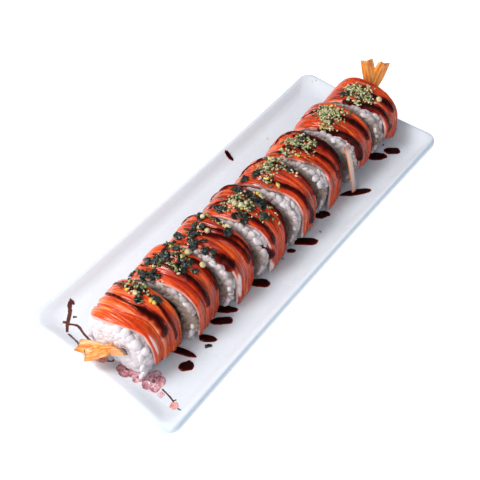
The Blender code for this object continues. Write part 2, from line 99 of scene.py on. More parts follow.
def place(piece, u, v, w):
    """Points of the part's frame for points along, across and up a slice."""
    along = u * (1 + piece.fan * v) + w * math.tan(math.radians(piece.lean))
    return turned(piece, along, v, w) + (piece.x, piece.y, PLATE_FLOOR + GAP)


def arch(half, height, s):
    """The loaf's outline (v, w), with s from 0 at the -Y foot over the top to 1."""
    low = math.asin((WAIST / UNDERCUT) ** (ROUNDNESS / 2))
    angle = -low + (math.pi + 2 * low) * np.asarray(s, float)
    c, n = np.cos(angle), np.sin(angle)
    reach = np.where(n > 0, height - WAIST, UNDERCUT)
    side = np.where(c > 0, half, BACK * half)
    return -side * blunt(c, 2 / ROUNDNESS), WAIST + reach * blunt(n, 2 / ROUNDNESS)


def cover_frame(piece, s, hanging=True):
    """v, w and the way out of the rice's arch. Strips hang straight down on the -Y side."""
    half, height = piece.half - COVER, LOAF_HEIGHT - COVER
    s = np.asarray(s, float)
    v, w = arch(half, height, s)
    v1, w1 = arch(half, height, np.minimum(1, s + 0.004))
    v0, w0 = arch(half, height, np.maximum(0, s - 0.004))
    size = np.hypot(v1 - v0, w1 - w0)
    out_v, out_w = -(w1 - w0) / size, (v1 - v0) / size
    if hanging:
        low = (s < 0.5) & (w < WAIST)
        v = np.where(low, -half - HANG * (WAIST - w), v)
        out_v, out_w = np.where(low, -1.0, out_v), np.where(low, 0.0, out_w)
    return v, w, out_v, out_w


def on_cover(piece, u, s, offset):
    """Points at places along and round a slice that stand so far out of its rice."""
    v, w, out_v, out_w = cover_frame(piece, s)
    return place(piece, u, v + out_v * offset, w + out_w * offset)


def strip_span(piece, index, s):
    near = (-piece.thick / 2 + 0.3 + piece.bare * (1 - smooth((s - 0.30) / 0.26))
            + piece.bare_back * smooth((s - 0.62) / 0.2))
    far = piece.thick / 2 + 0.1
    width = (far - near + STRIP_LAP * (piece.strips - 1)) / piece.strips
    start = near + index * (width - STRIP_LAP)
    return start, start + width


def curve_through(points, steps):
    """A Catmull-Rom curve through the points, with that many steps between each two."""
    p = np.asarray(points, float)
    p = np.concatenate([[2 * p[0] - p[1]], p, [2 * p[-1] - p[-2]]])
    out = []
    for a, b, c, d in zip(p, p[1:], p[2:], p[3:]):
        for t in np.arange(steps) / steps:
            out.append(0.5 * (2 * b + (c - a) * t + (2 * a - 5 * b + 4 * c - d) * t * t
                              + (3 * b - a - 3 * c + d) * t ** 3))
    out.append(p[-2])
    return np.array(out)


def circle(steps):
    """The cosines and sines of evenly spaced angles."""
    angles = TAU * np.arange(steps) / steps
    return np.cos(angles), np.sin(angles)


def unit(way):
    return way / np.linalg.norm(way)


def ways_at(path, i, rough):
    """The way ahead at a place on a path, one square to it and to rough, and one square to both."""
    ahead = unit(path[min(i + 1, len(path) - 1)] - path[max(i - 1, 0)])
    first = unit(np.cross(rough, ahead))
    return ahead, first, np.cross(ahead, first)


# Meshes

def new_object(name, data):
    made = bpy.data.objects.new(name, data)
    bpy.context.scene.collection.objects.link(made)
    return made


def make_piece(name, points, faces, finish, slot=None, replaces=(), **attributes):
    """A piece of the object from points in millimetres, with values kept on its points."""
    mesh = bpy.data.meshes.new(name)
    mesh.from_pydata(np.asarray(points, float) * MM, [], faces)
    mesh.validate()
    for key, values in attributes.items():
        values = np.asarray(values, float)
        kind, field = ("FLOAT_VECTOR", "vector") if values.ndim == 2 else ("FLOAT", "value")
        mesh.attributes.new(key, kind, "POINT").data.foreach_set(field, values.ravel())
    mesh.shade_smooth()
    mesh.materials.append(finish)
    obj = new_object(name, mesh)
    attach(obj, "root")
    if replaces:
        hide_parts(*replaces)
    return obj


def with_ends(grid):
    """A grid's rows as one list, and then the middles of its first and last rows."""
    grid = np.asarray(grid, float)
    return np.concatenate([grid.reshape(-1, *grid.shape[2:]), grid[[0, -1]].mean(1)])


class Builder:
    """Collects rings of points, and values on them, into one mesh."""

    def __init__(self):
        self.points, self.faces, self.values = [], [], {}

    def add(self, points, faces, **values):
        start = sum(map(len, self.points))
        self.points.append(np.asarray(points, float))
        self.faces += [[start + i for i in f] for f in faces]
        for key, value in values.items():
            self.values.setdefault(key, []).append(value)

    def loft(self, rings, closed=False, **values):
        """Skins rings of as many points each, with fans at the ends unless it is closed."""
        rings = np.asarray(rings, float)
        n, m = rings.shape[:2]
        faces = []
        for i in range(n if closed else n - 1):
            a, b = i * m, (i + 1) % n * m
            faces += [[a + j, a + (j + 1) % m, b + (j + 1) % m, b + j] for j in range(m)]
        points = rings.reshape(-1, 3)
        if not closed:
            points, values = with_ends(rings), {k: with_ends(v) for k, v in values.items()}
            faces += [[(j + 1) % m, j, n * m] for j in range(m)]
            faces += [[(n - 1) * m + j, (n - 1) * m + (j + 1) % m, n * m + 1] for j in range(m)]
        if outward(points, faces) < 0:
            faces = [f[::-1] for f in faces]
        self.add(points, faces, **values)
        return self

    def sheet(self, rings, thick, **values):
        """Skins rings that lie on something, from a rim that goes down by thick to the middle."""
        values = {k: np.repeat([v[0], *v], len(rings[0])).reshape(-1, len(rings[0])) for k, v in values.items()}
        return self.loft([np.array(rings[0]) - (0, 0, thick), *rings], **values)

    def piece(self, name, finish, **settings):
        values = {k: np.concatenate(v) for k, v in self.values.items()}
        return make_piece(name, np.concatenate(self.points), self.faces, finish, **settings, **values)


def outward(points, faces):
    """Six times the volume that the faces enclose: negative if they face inwards."""
    middle = points.mean(0)
    total = 0.0
    for f in faces:
        p = points[f] - middle
        for i in range(1, len(p) - 1):
            total += np.dot(p[0], np.cross(p[i], p[i + 1]))
    return total


def tree_of(*objects):
    """A tree of every face of these objects, in millimetres, to lay things on."""
    points, faces = [], []
    for obj in objects:
        start = len(points)
        points += [v.co / MM for v in obj.data.vertices]
        faces += [[start + i for i in p.vertices] for p in obj.data.polygons]
    return BVHTree.FromPolygons(points, faces)


def dropped(tree, above, below):
    """Where a line from above to below first meets the tree, and that place's normal."""
    above, below = Vector(above), Vector(below)
    point, normal, _, _ = tree.ray_cast(above, (below - above).normalized(), (above - below).length)
    if point is None:
        return None, None
    if normal.dot(above - below) < 0:
        normal = -normal
    return np.array(point), np.array(normal)


def on_plate(tree, x, y, rise):
    """The place that is so much above the plate at (x, y)."""
    hit, _ = dropped(tree, (x, y, 40.0), (x, y, 0.0))
    return x, y, (PLATE_FLOOR if hit is None else hit[2]) + rise


def wander(x, y=0.0, z=0.0):
    return noise.noise(Vector((x, y, z)))


ripple = np.vectorize(wander)


# Materials

class Finish:
    """A Principled material and short ways to wire nodes into it."""

    def __init__(self, name, **values):
        self.material = bpy.data.materials.new(name)
        self.material.use_nodes = True
        self.tree = self.material.node_tree
        self.place = self.node("TexCoord").outputs["Object"]
        self.geometry = self.node("NewGeometry").outputs
        self.set(**values)

    def give(self, target, value):
        """Links an input to a socket, or sets it to a number, a vector or a colour."""
        if isinstance(value, bpy.types.NodeSocket):
            self.tree.links.new(value, target)
        elif isinstance(value, tuple):
            target.default_value = (*value, 1)[:len(target.default_value)]
        else:
            target.default_value = value

    def set(self, **values):
        for key, value in values.items():
            self.give(self.tree.nodes["Principled BSDF"].inputs[key.replace("_", " ")], value)

    def node(self, kind, inputs=(), **settings):
        made = self.tree.nodes.new("ShaderNode" + kind)
        for key, value in settings.items():
            setattr(made, key, value)
        for key, value in dict(inputs).items():
            self.give(made.inputs[key], value)
        return made

    def attribute(self, name, output="Fac"):
        return self.node("Attribute", attribute_name=name).outputs[output]

    def noise(self, scale, detail=3.0, roughness=0.5, vector=None):
        inputs = {"Vector": vector or self.place, "Scale": scale, "Detail": detail, "Roughness": roughness}
        return self.node("TexNoise", inputs).outputs["Fac"]

    def fibres(self, scale, detail=3.0, roughness=0.6):
        """Noise drawn out along the piece's own fibres."""
        along = self.node("Mapping", {"Vector": self.attribute("fibre", "Vector"), "Scale": scale})
        return self.noise(1.0, detail, roughness, along.outputs["Vector"])

    def ramp(self, factor, *stops):
        made = self.node("ValToRGB", {"Fac": factor})
        bar = made.color_ramp
        while len(bar.elements) < len(stops):
            bar.elements.new(0.5)
        for element, (at, colour) in zip(bar.elements, stops):
            element.position = at
            element.color = (*colour, 1) if isinstance(colour, tuple) else (colour, colour, colour, 1)
        return made.outputs["Color"]

    def math(self, operation, *given):
        return self.node("Math", enumerate(given), operation=operation).outputs[0]

    def total(self, start, *weighted):
        """A number and sockets times their weights, added up."""
        for socket, weight in weighted:
            start = self.math("MULTIPLY_ADD", socket, weight, start)
        return start

    def blend(self, factor, a, b, mode="MIX"):
        inputs = {"Factor": factor, "A": a, "B": b}
        return self.node("Mix", inputs, data_type="RGBA", blend_type=mode).outputs["Result"]

    def bump(self, height, distance, strength, **facing):
        inputs = {"Height": height, "Distance": distance, "Strength": strength, **facing}
        self.set(Normal=self.node("Bump", inputs).outputs["Normal"])


CLAMP = (0.0, 0.0), (1.0, 1.0)
# Where the plate's inner slopes and its rim begin, in metres.
SLOPE_Z, RIM_X, RIM_Y = 0.0118, 0.1253, 0.0498


def ceramic():
    f = Finish("glaze", IOR=1.5)
    at = f.node("SeparateXYZ", {0: f.place}).outputs
    floor = f.ramp(f.noise(14, 2), (0.35, (0.69, 0.73, 0.79)), (0.65, (0.73, 0.77, 0.83)))
    # Painted light: the inner slopes and the rim are painted lighter than the floor, so that they look as bright as
    # the floor does.
    painted_slope_light = f.total(-260 * SLOPE_Z, (at["Z"], 260))
    inner = f.blend(f.ramp(painted_slope_light, *CLAMP), floor, (0.76, 0.80, 0.87))
    beyond = [f.math("SUBTRACT", f.math("ABSOLUTE", at[axis]), half) for axis, half in (("X", RIM_X), ("Y", RIM_Y))]
    rim = f.ramp(f.math("MULTIPLY", f.math("MAXIMUM", *beyond), 700), *CLAMP)
    f.set(Base_Color=f.blend(rim, inner, (0.58, 0.68, 0.80)),
          Roughness=f.ramp(f.noise(60), (0.3, 0.22), (0.7, 0.32)))
    # Inside the rim the thick glaze shades more gently than the slopes stand.
    facing = f.blend(f.total(0.5, (rim, -0.5)), f.geometry["Normal"], (0.0, 0.0, 1.0))
    facing = f.node("VectorMath", {0: facing}, operation="NORMALIZE").outputs["Vector"]
    f.bump(f.noise(25, 2), 0.0004, 0.25, Normal=facing)
    return f.material


def rice_finish(name="cooked_rice", shade=0.0):
    f = Finish(name, Subsurface_Weight=0.12, Subsurface_Scale=0.001, Subsurface_Radius=(1.0, 0.9, 0.85),
               Specular_IOR_Level=0.3)
    tint = f.ramp(f.geometry["Random Per Island"], (0.0, (0.66, 0.60, 0.63)), (0.5, (0.70, 0.64, 0.67)),
                  (1.0, (0.76, 0.70, 0.73)))
    tint = f.blend(f.ramp(f.noise(300), (0.45, 0.0), (0.75, 0.4)), tint, (0.58, 0.52, 0.54))
    # Painted shade: the attribute or the shade argument darkens the rice towards a brownish grey, for the shade
    # between slices and in crevices.
    f.set(Base_Color=f.blend(f.math("MAXIMUM", f.attribute("tinge"), shade), tint, (0.24, 0.175, 0.14)))
    f.bump(f.noise(900, 2), 0.0002, 0.4)
    return f.material


def crab_finish():
    f = Finish("crab_fibre", Subsurface_Weight=0.12, Subsurface_Scale=0.002, Subsurface_Radius=(1.0, 0.35, 0.2),
               Coat_Roughness=0.06, Specular_IOR_Level=0.3)
    broad = f.fibres((0.42, 0.022, 1.0), 2, 0.5)
    fine, cross = f.fibres((1.25, 0.035, 1.0)), f.fibres((0.5, 0.6, 1.0))
    # Paleness lifts the streaks: painted light on the lit side and on slice 1, and the real paler strip edges and
    # inner sides.
    streak = f.total(-0.08, (broad, 0.42), (fine, 0.58), (f.attribute("pale"), 0.20), (cross, 0.16))
    skin = f.ramp(streak, (0.37, (0.36, 0.012, 0.001)), (0.47, (0.60, 0.034, 0.002)),
                  (0.56, (0.79, 0.080, 0.005)), (0.65, (0.89, 0.175, 0.022)), (0.78, (0.93, 0.44, 0.19)))
    bare = f.blend(f.attribute("inside"), skin, (0.86, 0.74, 0.70))
    patch = f.ramp(f.fibres((0.34, 0.075, 1.0), 4), (0.44, 0.0), (0.60, 1.0))
    wet = f.math("MAXIMUM", f.attribute("glaze"), f.math("MULTIPLY", patch, f.attribute("washed")))
    f.set(Base_Color=f.blend(wet, bare, (0.27, 0.10, 0.08), "MULTIPLY"),
          Coat_Weight=f.total(0.15, (wet, 0.6)),
          Roughness=f.ramp(f.total(0.15, (fine, 1.0), (wet, -0.5)), (0.1, 0.14), (0.8, 0.42)))
    f.bump(f.total(0.0, (fine, 1.0), (cross, 0.3)), 0.0006, 0.55)
    return f.material


def sauce_finish():
    f = Finish("dark_sauce", Roughness=0.07, IOR=1.36, Specular_IOR_Level=0.15)
    f.set(Base_Color=f.ramp(
        f.attribute("depth"), (0.0, (0.34, 0.020, 0.004)), (0.22, (0.19, 0.008, 0.003)),
        (0.55, (0.085, 0.0035, 0.0016)), (0.85, (0.036, 0.0018, 0.0012)), (1.0, (0.016, 0.0012, 0.001))))
    f.bump(f.noise(160, 2), 0.0004, 0.2)
    return f.material


def speckled(name, colours, roughness, scale=700, bump=0.0004):
    """A finish whose colour differs from scrap to scrap, with a little grain of its own."""
    f = Finish(name, Roughness=roughness)
    stops = [(i / (len(colours) - 1), c) for i, c in enumerate(colours)]
    grain = f.ramp(f.noise(scale), (0.3, 0.62), (0.7, 1.15))
    f.set(Base_Color=f.blend(1.0, f.ramp(f.geometry["Random Per Island"], *stops), grain, "MULTIPLY"))
    f.bump(f.noise(scale * 1.5), bump, 0.6)
    return f.material


def printed(name, dark, light, scale, dotted=0.0):
    """Ink under the glaze, uneven as brushed ink is."""
    f = Finish(name, Roughness=0.2, Coat_Weight=0.3, Coat_Roughness=0.08)
    shade = f.total(0.0, (f.noise(scale), 1.0), (f.attribute("tone"), -0.22))
    dots = f.ramp(f.noise(1500, 1), (0.60, 0.0), (0.66, dotted))
    f.set(Base_Color=f.blend(dots, f.ramp(shade, (0.22, dark), (0.60, light)), (0.88, 0.86, 0.88)))
    return f.material


def tail_finish():
    f = Finish("prawn_tail", Subsurface_Weight=0.15, Subsurface_Scale=0.002, Subsurface_Radius=(1.0, 0.5, 0.15),
               Coat_Weight=0.3, Coat_Roughness=0.15)
    streak = f.fibres((0.9, 0.10, 1.0), 4)
    body = f.ramp(streak, (0.34, (0.56, 0.13, 0.012)), (0.46, (0.82, 0.27, 0.030)),
                  (0.58, (0.89, 0.40, 0.09)), (0.74, (0.93, 0.62, 0.28)))
    patch = f.ramp(f.fibres((0.25, 0.2, 1.0)), (0.52, 0.0), (0.66, 0.75))
    marked = f.blend(patch, body, (0.62, 0.12, 0.02))
    f.set(Base_Color=f.blend(f.attribute("burnt"), marked, (0.085, 0.022, 0.012)),
          Roughness=f.ramp(streak, (0.3, 0.28), (0.7, 0.42)))
    f.bump(streak, 0.0007, 0.6)
    return f.material


# The plate

CORNERS = np.array([(1, 1), (-1, 1), (-1, -1), (1, -1)])
CORNER_STEPS, SIDE_STEPS = 14, (30, 12)


def plate_ring(inset_x, inset_y, z):
    """The plate's outline at one level: round corners, and sides that are slightly hollow."""
    radius = CORNER_RADIUS + 0.25 * inset_y
    reach = np.array([PLATE_LENGTH / 2 - inset_x - radius, PLATE_WIDTH / 2 - inset_y - radius])
    points = []
    for number, corner in enumerate(CORNERS):
        angles = (number + np.arange(CORNER_STEPS + 1) / CORNER_STEPS) * math.pi / 2
        points.extend(corner * reach + radius * np.stack([np.cos(angles), np.sin(angles)], 1))
        steps = SIDE_STEPS[number % 2]
        t = np.arange(1, steps)[:, None] / steps
        inward = -corner * np.roll((0, 1), number)
        points.extend(points[-1] + (CORNERS[(number + 1) % 4] - corner) * reach * t
                      + inward * SIDE_HOLLOW * 4 * t * (1 - t))
    return [(x, y, z) for x, y in points]


def make_plate():
    rows = np.concatenate([PLATE_SECTION[:2], curve_through(PLATE_SECTION[2:], 4)])
    rings = [plate_ring(*row) for row in np.clip(rows, 0, (np.inf, np.inf, 18.0))]
    return Builder().loft(rings).piece("plate_glazed", ceramic(), slot="glazed_white", replaces=("plate",))


# Rice

def changed_ball(change, fineness=2):
    """The points and faces of a ball of radius 1 whose points go where change says."""
    shape = bmesh.new()
    bmesh.ops.create_icosphere(shape, subdivisions=fineness, radius=1.0)
    shape.verts.index_update()
    points = np.array([change(*v.co) for v in shape.verts])
    faces = np.array([[v.index for v in f.verts] for f in shape.faces])
    shape.free()
    return points, faces


def grain(x, y, z):
    """A cooked grain: a blunt spindle with a slight bend."""
    narrow = 1 - 0.16 * abs(x) ** 3
    return x, y * narrow, z * narrow - 0.10 * (1 - x * x)


def seed(x, y, z):
    """A sesame seed: flat, round at one end and pointed at the other."""
    narrow = 1 - 0.42 * max(0.0, x) ** 1.3
    return x * 1.05, y * narrow, z * narrow


def laid_copies(shape, spots, draw):
    """Copies of a shape at spots (point, way out, half sizes, tilt), as one mesh."""
    points, faces = shape
    copies = []
    for point, out, sizes, tilt in spots:
        out = Vector(out).normalized()
        along = Vector([draw.gauss(0, 1) for _ in range(3)])
        along = (along - out * along.dot(out)).normalized()
        along = (along + out * tilt).normalized()
        side = out.cross(along).normalized()
        copies.append((points * sizes) @ np.array([along, side, along.cross(side)]) + point)
    return np.concatenate(copies), np.concatenate([faces + i * len(points) for i in range(len(spots))])


def inside_loaf(piece, v, w, margin):
    half, height = piece.half - COVER - margin, LOAF_HEIGHT - COVER - margin
    if not 0.8 <= w <= height:
        return False
    reach = (height - WAIST) if w > WAIST else UNDERCUT
    side = half if v < 0 else BACK * half
    return (abs(v) / side) ** ROUNDNESS + (abs(w - WAIST) / reach) ** ROUNDNESS < 1


def outline_radius(piece):
    """A table of the loaf's radius about the filling's centre, by angle."""
    v, w = arch(piece.half - COVER, LOAF_HEIGHT - COVER, np.linspace(0, 1, 200))
    v = np.concatenate([v, mix(v[-1], v[0], np.linspace(0, 1, 60))])
    w = np.concatenate([w, np.zeros(60)]) - CORE_HEIGHT
    angle = np.arctan2(w, v)
    order = np.argsort(angle)
    return angle[order], np.hypot(v, w)[order]


# How round a closed end is: places from the filling's centre to the outline, and how far each stands back.
CAP_RINGS = ((0.0, 0.36, 0.72, 0.95, 1.0), (0.0, 0.0, 0.9, 4.6, 8.5))
GRAIN, LUMP = np.array((2.9, 2.0, 1.5)), np.array((2.6, 2.1, 1.9))
# How much painted shade each slice's open faces carry towards the filling, standing in for the shade between slices.
GAP_SHADE = (0.7, 1.0, 0.6, 0.55, 0.65, 1.0, 0.6, 1.0)
OPEN_BACK, CLOSED_BACK = 1.5, 1.35
SIDE_GRAINS = 130


def end_spots(piece, side, draw, count):
    """Places for grains over one end of a slice, and how much painted shade each carries."""
    sign = -1 if side == "near" else 1
    closed = piece.cap == side
    angles, radii = outline_radius(piece)
    spots, gap_shades = [], []
    while len(spots) < count:
        v, w = draw.uniform(-piece.half, piece.half), draw.uniform(0.5, LOAF_HEIGHT - COVER)
        core = math.hypot(v / (CORE_HALF[0] + 1.6), (w - CORE_HEIGHT) / (CORE_HALF[1] + 1.6))
        if core < (0.30 if closed else 1.0) or not inside_loaf(piece, v, w, 0.6):
            continue
        back, out_v, out_w = OPEN_BACK, 0.0, 0.0
        if closed:
            angle = math.atan2(w - CORE_HEIGHT, v)
            spread = math.hypot(v, w - CORE_HEIGHT) / np.interp(angle, angles, radii)
            back = CLOSED_BACK + np.interp(spread, *CAP_RINGS) * (1 - 0.75 * smooth((w - 8) / 22))
            leaning = max(0.0, spread - 0.5) * 1.4
            out_v, out_w = math.cos(angle) * leaning, math.sin(angle) * leaning
        size = draw.uniform(0.9, 1.2) * (1.1 if closed else 1.0)
        spots.append((place(piece, sign * (piece.thick / 2 - back), v, w), turned(piece, sign, out_v, out_w),
                      size * (LUMP if closed else GRAIN), draw.gauss(0, 0.2)))
        # Painted shade: open faces are darker towards the filling and lower down towards the plate, where the slices
        # and the plate shade them.
        inner, low = 1 - smooth((core - 1.25) / 0.5), smooth((30 - w) / 20)
        gap_shades.append(0.0 if closed else min(0.97, GAP_SHADE[piece.number - 1] * 0.97 * inner + 0.60 * low))
    return spots, gap_shades


def side_spots(piece, draw):
    """Places for grains on the arch where no strip covers it, and at the foot under the strips."""
    spots = []
    while len(spots) < SIDE_GRAINS:
        s = draw.choice((draw.uniform(0.02, 0.46), draw.uniform(0.0, 0.16), draw.uniform(0.86, 1.0)))
        u = draw.uniform(-piece.thick / 2 + 0.8, piece.thick / 2 - 0.8)
        covered = u > strip_span(piece, 0, s)[0] + 1.0
        if covered and 0.14 < s < 0.86:
            continue
        v, w, out_v, out_w = cover_frame(piece, s, hanging=False)
        sunk = -1.5 if covered and s < 0.5 else -0.95
        spots.append((place(piece, u, v + out_v * sunk, max(w + out_w * sunk, 1.2)),
                      turned(piece, 0, out_v, out_w), draw.uniform(0.85, 1.1) * GRAIN, draw.gauss(0, 0.12)))
    return spots


def make_rice(finish):
    # The rice under the grains of the open faces gets painted shade, for the dark crevices between grains.
    bed = rice_finish("rice_bed", 0.6)
    for piece in SLICES:
        number, first = piece.number, piece.number == 1
        draw, shape = random.Random(300 + number), changed_ball(grain, 3 if first else 2)
        near, near_gap_shades = end_spots(piece, "near", draw, 240 if piece.cap == "near" else 230)
        far, far_gap_shades = end_spots(piece, "far", draw, 240 if piece.cap == "far" else 150)
        points, faces = laid_copies(shape, near + far + side_spots(piece, draw), draw)
        tinge = np.repeat(near_gap_shades + far_gap_shades + [0.0] * SIDE_GRAINS, len(shape[0]))
        make_piece(f"grains_{number}", points, faces, finish, slot="rice", tinge=tinge)
        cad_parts[f"rice_{number}"].data.materials[0] = finish if first else bed


# Crab stick

ALONG_STEPS, TOP_STEPS, LOW_STEPS = 96, 34, 6
STRIP_CROWN = 2.1
# How far up the strips end on the -Y side, at the slice's near and at its far end.
HEMS = ((10.0, 1.5), (5.0, 3.5), (0.8, 0.5), (2.0, 2.5), (4.0, 2.5), (0.5, 0.5), (8.5, 5.0), (11.0, 0.8))
# How much each slice is washed over with thinned sauce.
WASH = (0.4, 0.6, 0.7, 0.75, 0.75, 0.85, 0.75, 0.8)
# Where the pale inside of a strip shows: slice, places along the thickness and round the arch, half sizes.
BARE = ((1, -0.19, 0.24, 0.8, 7.0), (3, -0.23, 0.16, 2.2, 8.0), (4, -0.30, 0.07, 3.0, 5.0),
        (5, -0.22, 0.05, 1.6, 4.0))


def strip_rings(piece, index):
    """The rings of one strip and, for its colour, its fibres, how pale it is (partly painted light) and how bare,
    and its places.
    """
    draw = random.Random(piece.number * 10 + index)
    last, offset = draw.uniform(0.87, 0.93), draw.uniform(0, 50)
    grooves = [(draw.uniform(-0.8, 0.8), draw.uniform(0.3, 0.6), draw.uniform(0.035, 0.07)) for _ in range(4)]
    grooves.append((draw.uniform(-0.3, 0.3), draw.uniform(0.9, 1.2), draw.uniform(0.07, 0.11)))
    j = np.arange(TOP_STEPS + LOW_STEPS)
    a = np.where(j < TOP_STEPS, -1 + 2 * j / (TOP_STEPS - 1), 1 - 2 * (j - TOP_STEPS + 1) / (LOW_STEPS + 1))
    t, a = np.meshgrid(np.linspace(0, 1, ALONG_STEPS + 1), a, indexing="ij")
    top = j < TOP_STEPS
    ragged = 0.012 * ripple(a * 3.1, offset) + 0.007 * ripple(a * 9.0, offset + 5)
    hem = mix(*HEMS[piece.number - 1], (index + (a + 1) / 2) / piece.strips) / ARCH_LENGTH
    s = mix(np.maximum(0.002, hem + ragged), last + 1.5 * ragged, t)
    start, end = strip_span(piece, index, s)
    edge = 0.55 * ripple(s * 6, offset, a * 0.4) + 0.18 * ripple(s * 34, offset, a)
    tuck = 0.35 * (1 - smooth(t / 0.1)) + 1.4 * (1 - smooth((1 - t) / 0.12))
    across = (start + end) / 2 + a * ((end - start) / 2 - tuck) + edge
    hump = np.maximum(0, 1 - np.abs(a) ** 4.5) ** 0.55
    step = (0.0 if index == 0 else 0.8) * (1 - smooth((a + 1) / 1.3))
    height = step + 0.15 + STRIP_CROWN * hump * (0.55 + 0.45 * smooth(np.minimum(t, 1 - t) / 0.06))
    height *= 1 + 0.12 * ripple(s * 7, offset, 3.3)
    height += hump * (0.22 * ripple(across * 1.3, s * 2.2, offset) + 0.12 * ripple(across * 3.4, s * 5, offset))
    for at, deep, wide in grooves:
        drift = at + 0.10 * ripple(s * 3, offset, at * 7)
        height -= deep * np.exp(-((a - drift) / wide) ** 2) * hump
    rings = on_cover(piece, across, s, STRIP_UNDER + np.where(top, height, step))
    fibre = np.stack([across + 5.0 * index + offset, s * ARCH_LENGTH, np.full(s.shape, offset)], -1)
    # Painted light: the lit +Y side of the arch and all of slice 1 are painted paler; the paler strip edges are the
    # crab stick's own.
    pale = 0.45 * smooth((s - 0.50) / 0.3) + 0.18 * smooth((np.abs(a) - 0.72) / 0.28)
    pale += 0.25 if piece.number == 1 else 0.0
    bare = (0.8 if index == 0 else 0.45) * smooth((-a - 0.86) / 0.14) + 0.3 * smooth((a - 0.95) / 0.05)
    for number, at, around, half_along, half_around in BARE:
        if number == piece.number:
            away = np.hypot((across - at * piece.thick) / half_along, (s - around) * ARCH_LENGTH / half_around)
            bare = np.maximum(bare, 0.9 * smooth(2 * (1 - away ** 2)))
    return rings, {"fibre": fibre, "pale": pale, "inside": np.where(top, bare, 0.9),
                   "spot": np.stack([across, s], -1)}


def make_strips(finish):
    """The strips over each slice. Where sauce has run over them they are stained."""
    made = []
    for piece in SLICES:
        number, built = piece.number, Builder()
        for index in range(piece.strips):
            rings, values = strip_rings(piece, index)
            built.loft(rings, **values)
        along, around = np.concatenate(built.values.pop("spot")).T
        up = np.concatenate(built.points)[:, 2] - PLATE_FLOOR
        bare_end = 1 - 0.9 * smooth((-0.05 - along / piece.thick) / 0.2) if number == 1 else 1.0
        made.append(built.piece(
            f"strips_{number}", finish, slot="crab_stick", replaces=(f"crab_{number}",),
            glaze=0.85 * smooth((sauce_field(number, along, around) + 1.0) / 1.2),
            washed=WASH[number - 1] * smooth((up - 4) / 14) * bare_end))
    return made


LOOSE_PATH = ((63.8, -21.3, 41.6), (62.6, -24.4, 37.8), (61.7, -26.5, 33.9), (61.2, -28.2, 29.3),
              (61.2, -30.2, 21.7), (61.4, -32.6, 11.6))


def make_loose_strip(finish):
    """The strip that has slipped off a slice's near edge, its pale inner side outwards."""
    path, steps = curve_through(LOOSE_PATH, 9), 22
    a, b = circle(steps)
    rings = []
    for i, point in enumerate(path):
        _, up, side = ways_at(path, i, (1, 0, 0))
        width = 2.4 * (0.92 + 0.12 * wander(i * 0.12, 4.0))
        thick = math.copysign(1, -up[1]) * (0.7 + 0.12 * ripple(a * 4, i * 0.1, 2.0))
        rings.append(point + np.outer(blunt(a, 0.8) * width, side) + np.outer(blunt(b, 0.7) * thick, up))
    shape = (len(path), steps)
    far, row = np.indices(shape)[0], np.ones(shape)
    inside = np.where(b > -0.3, 0.85 * (1 - smooth((np.abs(a + 0.1) - 0.5) / 0.4)), 0.1)
    Builder().loft(rings, fibre=np.stack([a * 3.0 * row, far, 71.0 * row], -1), pale=0.9 * row, inside=inside * row,
                   glaze=0.10 + 0.5 * smooth((8 - far) / 7)).piece(
        "strip_loose", finish, slot="crab_stick", replaces=("crab_loose",))


# Sauce

# Lines of sauce over the slices: slice, half width, and places (along the thickness, round the arch)
# in hundredths.
LINES = (
    (1, 0.9, ((47, 80), (40, 72), (32, 60), (28, 52))),
    (1, 0.8, ((12, 72), (5, 60), (2, 50), (4, 42))),
    (1, 2.0, ((2, 46), (6, 39), (10, 33), (9, 25))),
    (1, 0.9, ((40, 51), (34, 42), (30, 35), (27, 27), (30, 15))),
    (2, 1.6, ((-10, 54), (-8, 44), (-6, 38), (-5, 30), (-3, 21))),
    (2, 1.3, ((33, 46), (38, 38), (41, 31), (42, 22))),
    (2, 0.9, ((14, 74), (0, 66), (-10, 59), (-10, 53))),
    (3, 1.5, ((-14, 56), (2, 48), (12, 42), (21, 33), (25, 24))),
    (3, 1.9, ((-33, 41), (-28, 36), (-26, 31))),
    (3, 1.2, ((12, 54), (23, 46), (33, 38), (38, 29), (42, 18))),
    (3, 1.1, ((32, 75), (46, 68), (47, 58))),
    (4, 1.4, ((-14, 51), (-20, 42), (-15, 33), (-16, 24))),
    (4, 1.6, ((-47, 32), (-45, 28), (-40, 24), (-28, 16))),
    (4, 1.3, ((30, 51), (39, 42), (42, 33), (41, 24), (43, 13))),
    (4, 1.1, ((13, 76), (33, 72), (42, 64), (46, 56))),
    (4, 0.9, ((-28, 67), (-15, 62), (-7, 55))),
    (5, 1.6, ((-24, 53), (-18, 45), (-7, 38), (0, 31), (5, 23), (18, 12))),
    (5, 1.3, ((30, 56), (37, 48), (42, 42), (44, 35), (45, 26))),
    (5, 1.1, ((-8, 73), (15, 69), (30, 66), (44, 61))),
    (6, 3.8, ((26, 56), (32, 47), (38, 39), (42, 31), (43, 21))),
    (6, 1.4, ((-16, 59), (-10, 49), (-3, 42), (5, 33), (13, 22))),
    (6, 1.1, ((-10, 71), (25, 67), (38, 60), (45, 53))),
    (7, 1.9, ((2, 53), (12, 45), (18, 39), (23, 33), (28, 26))),
    (7, 1.5, ((-44, 52), (-40, 46), (-28, 40), (-20, 30), (-18, 18))),
    (7, 0.9, ((-5, 72), (7, 65), (15, 57))),
    (8, 2.1, ((-4, 54), (7, 42), (18, 35), (27, 28))),
    (8, 1.7, ((-45, 54), (-38, 47), (-20, 38), (-9, 30), (-5, 18))),
)

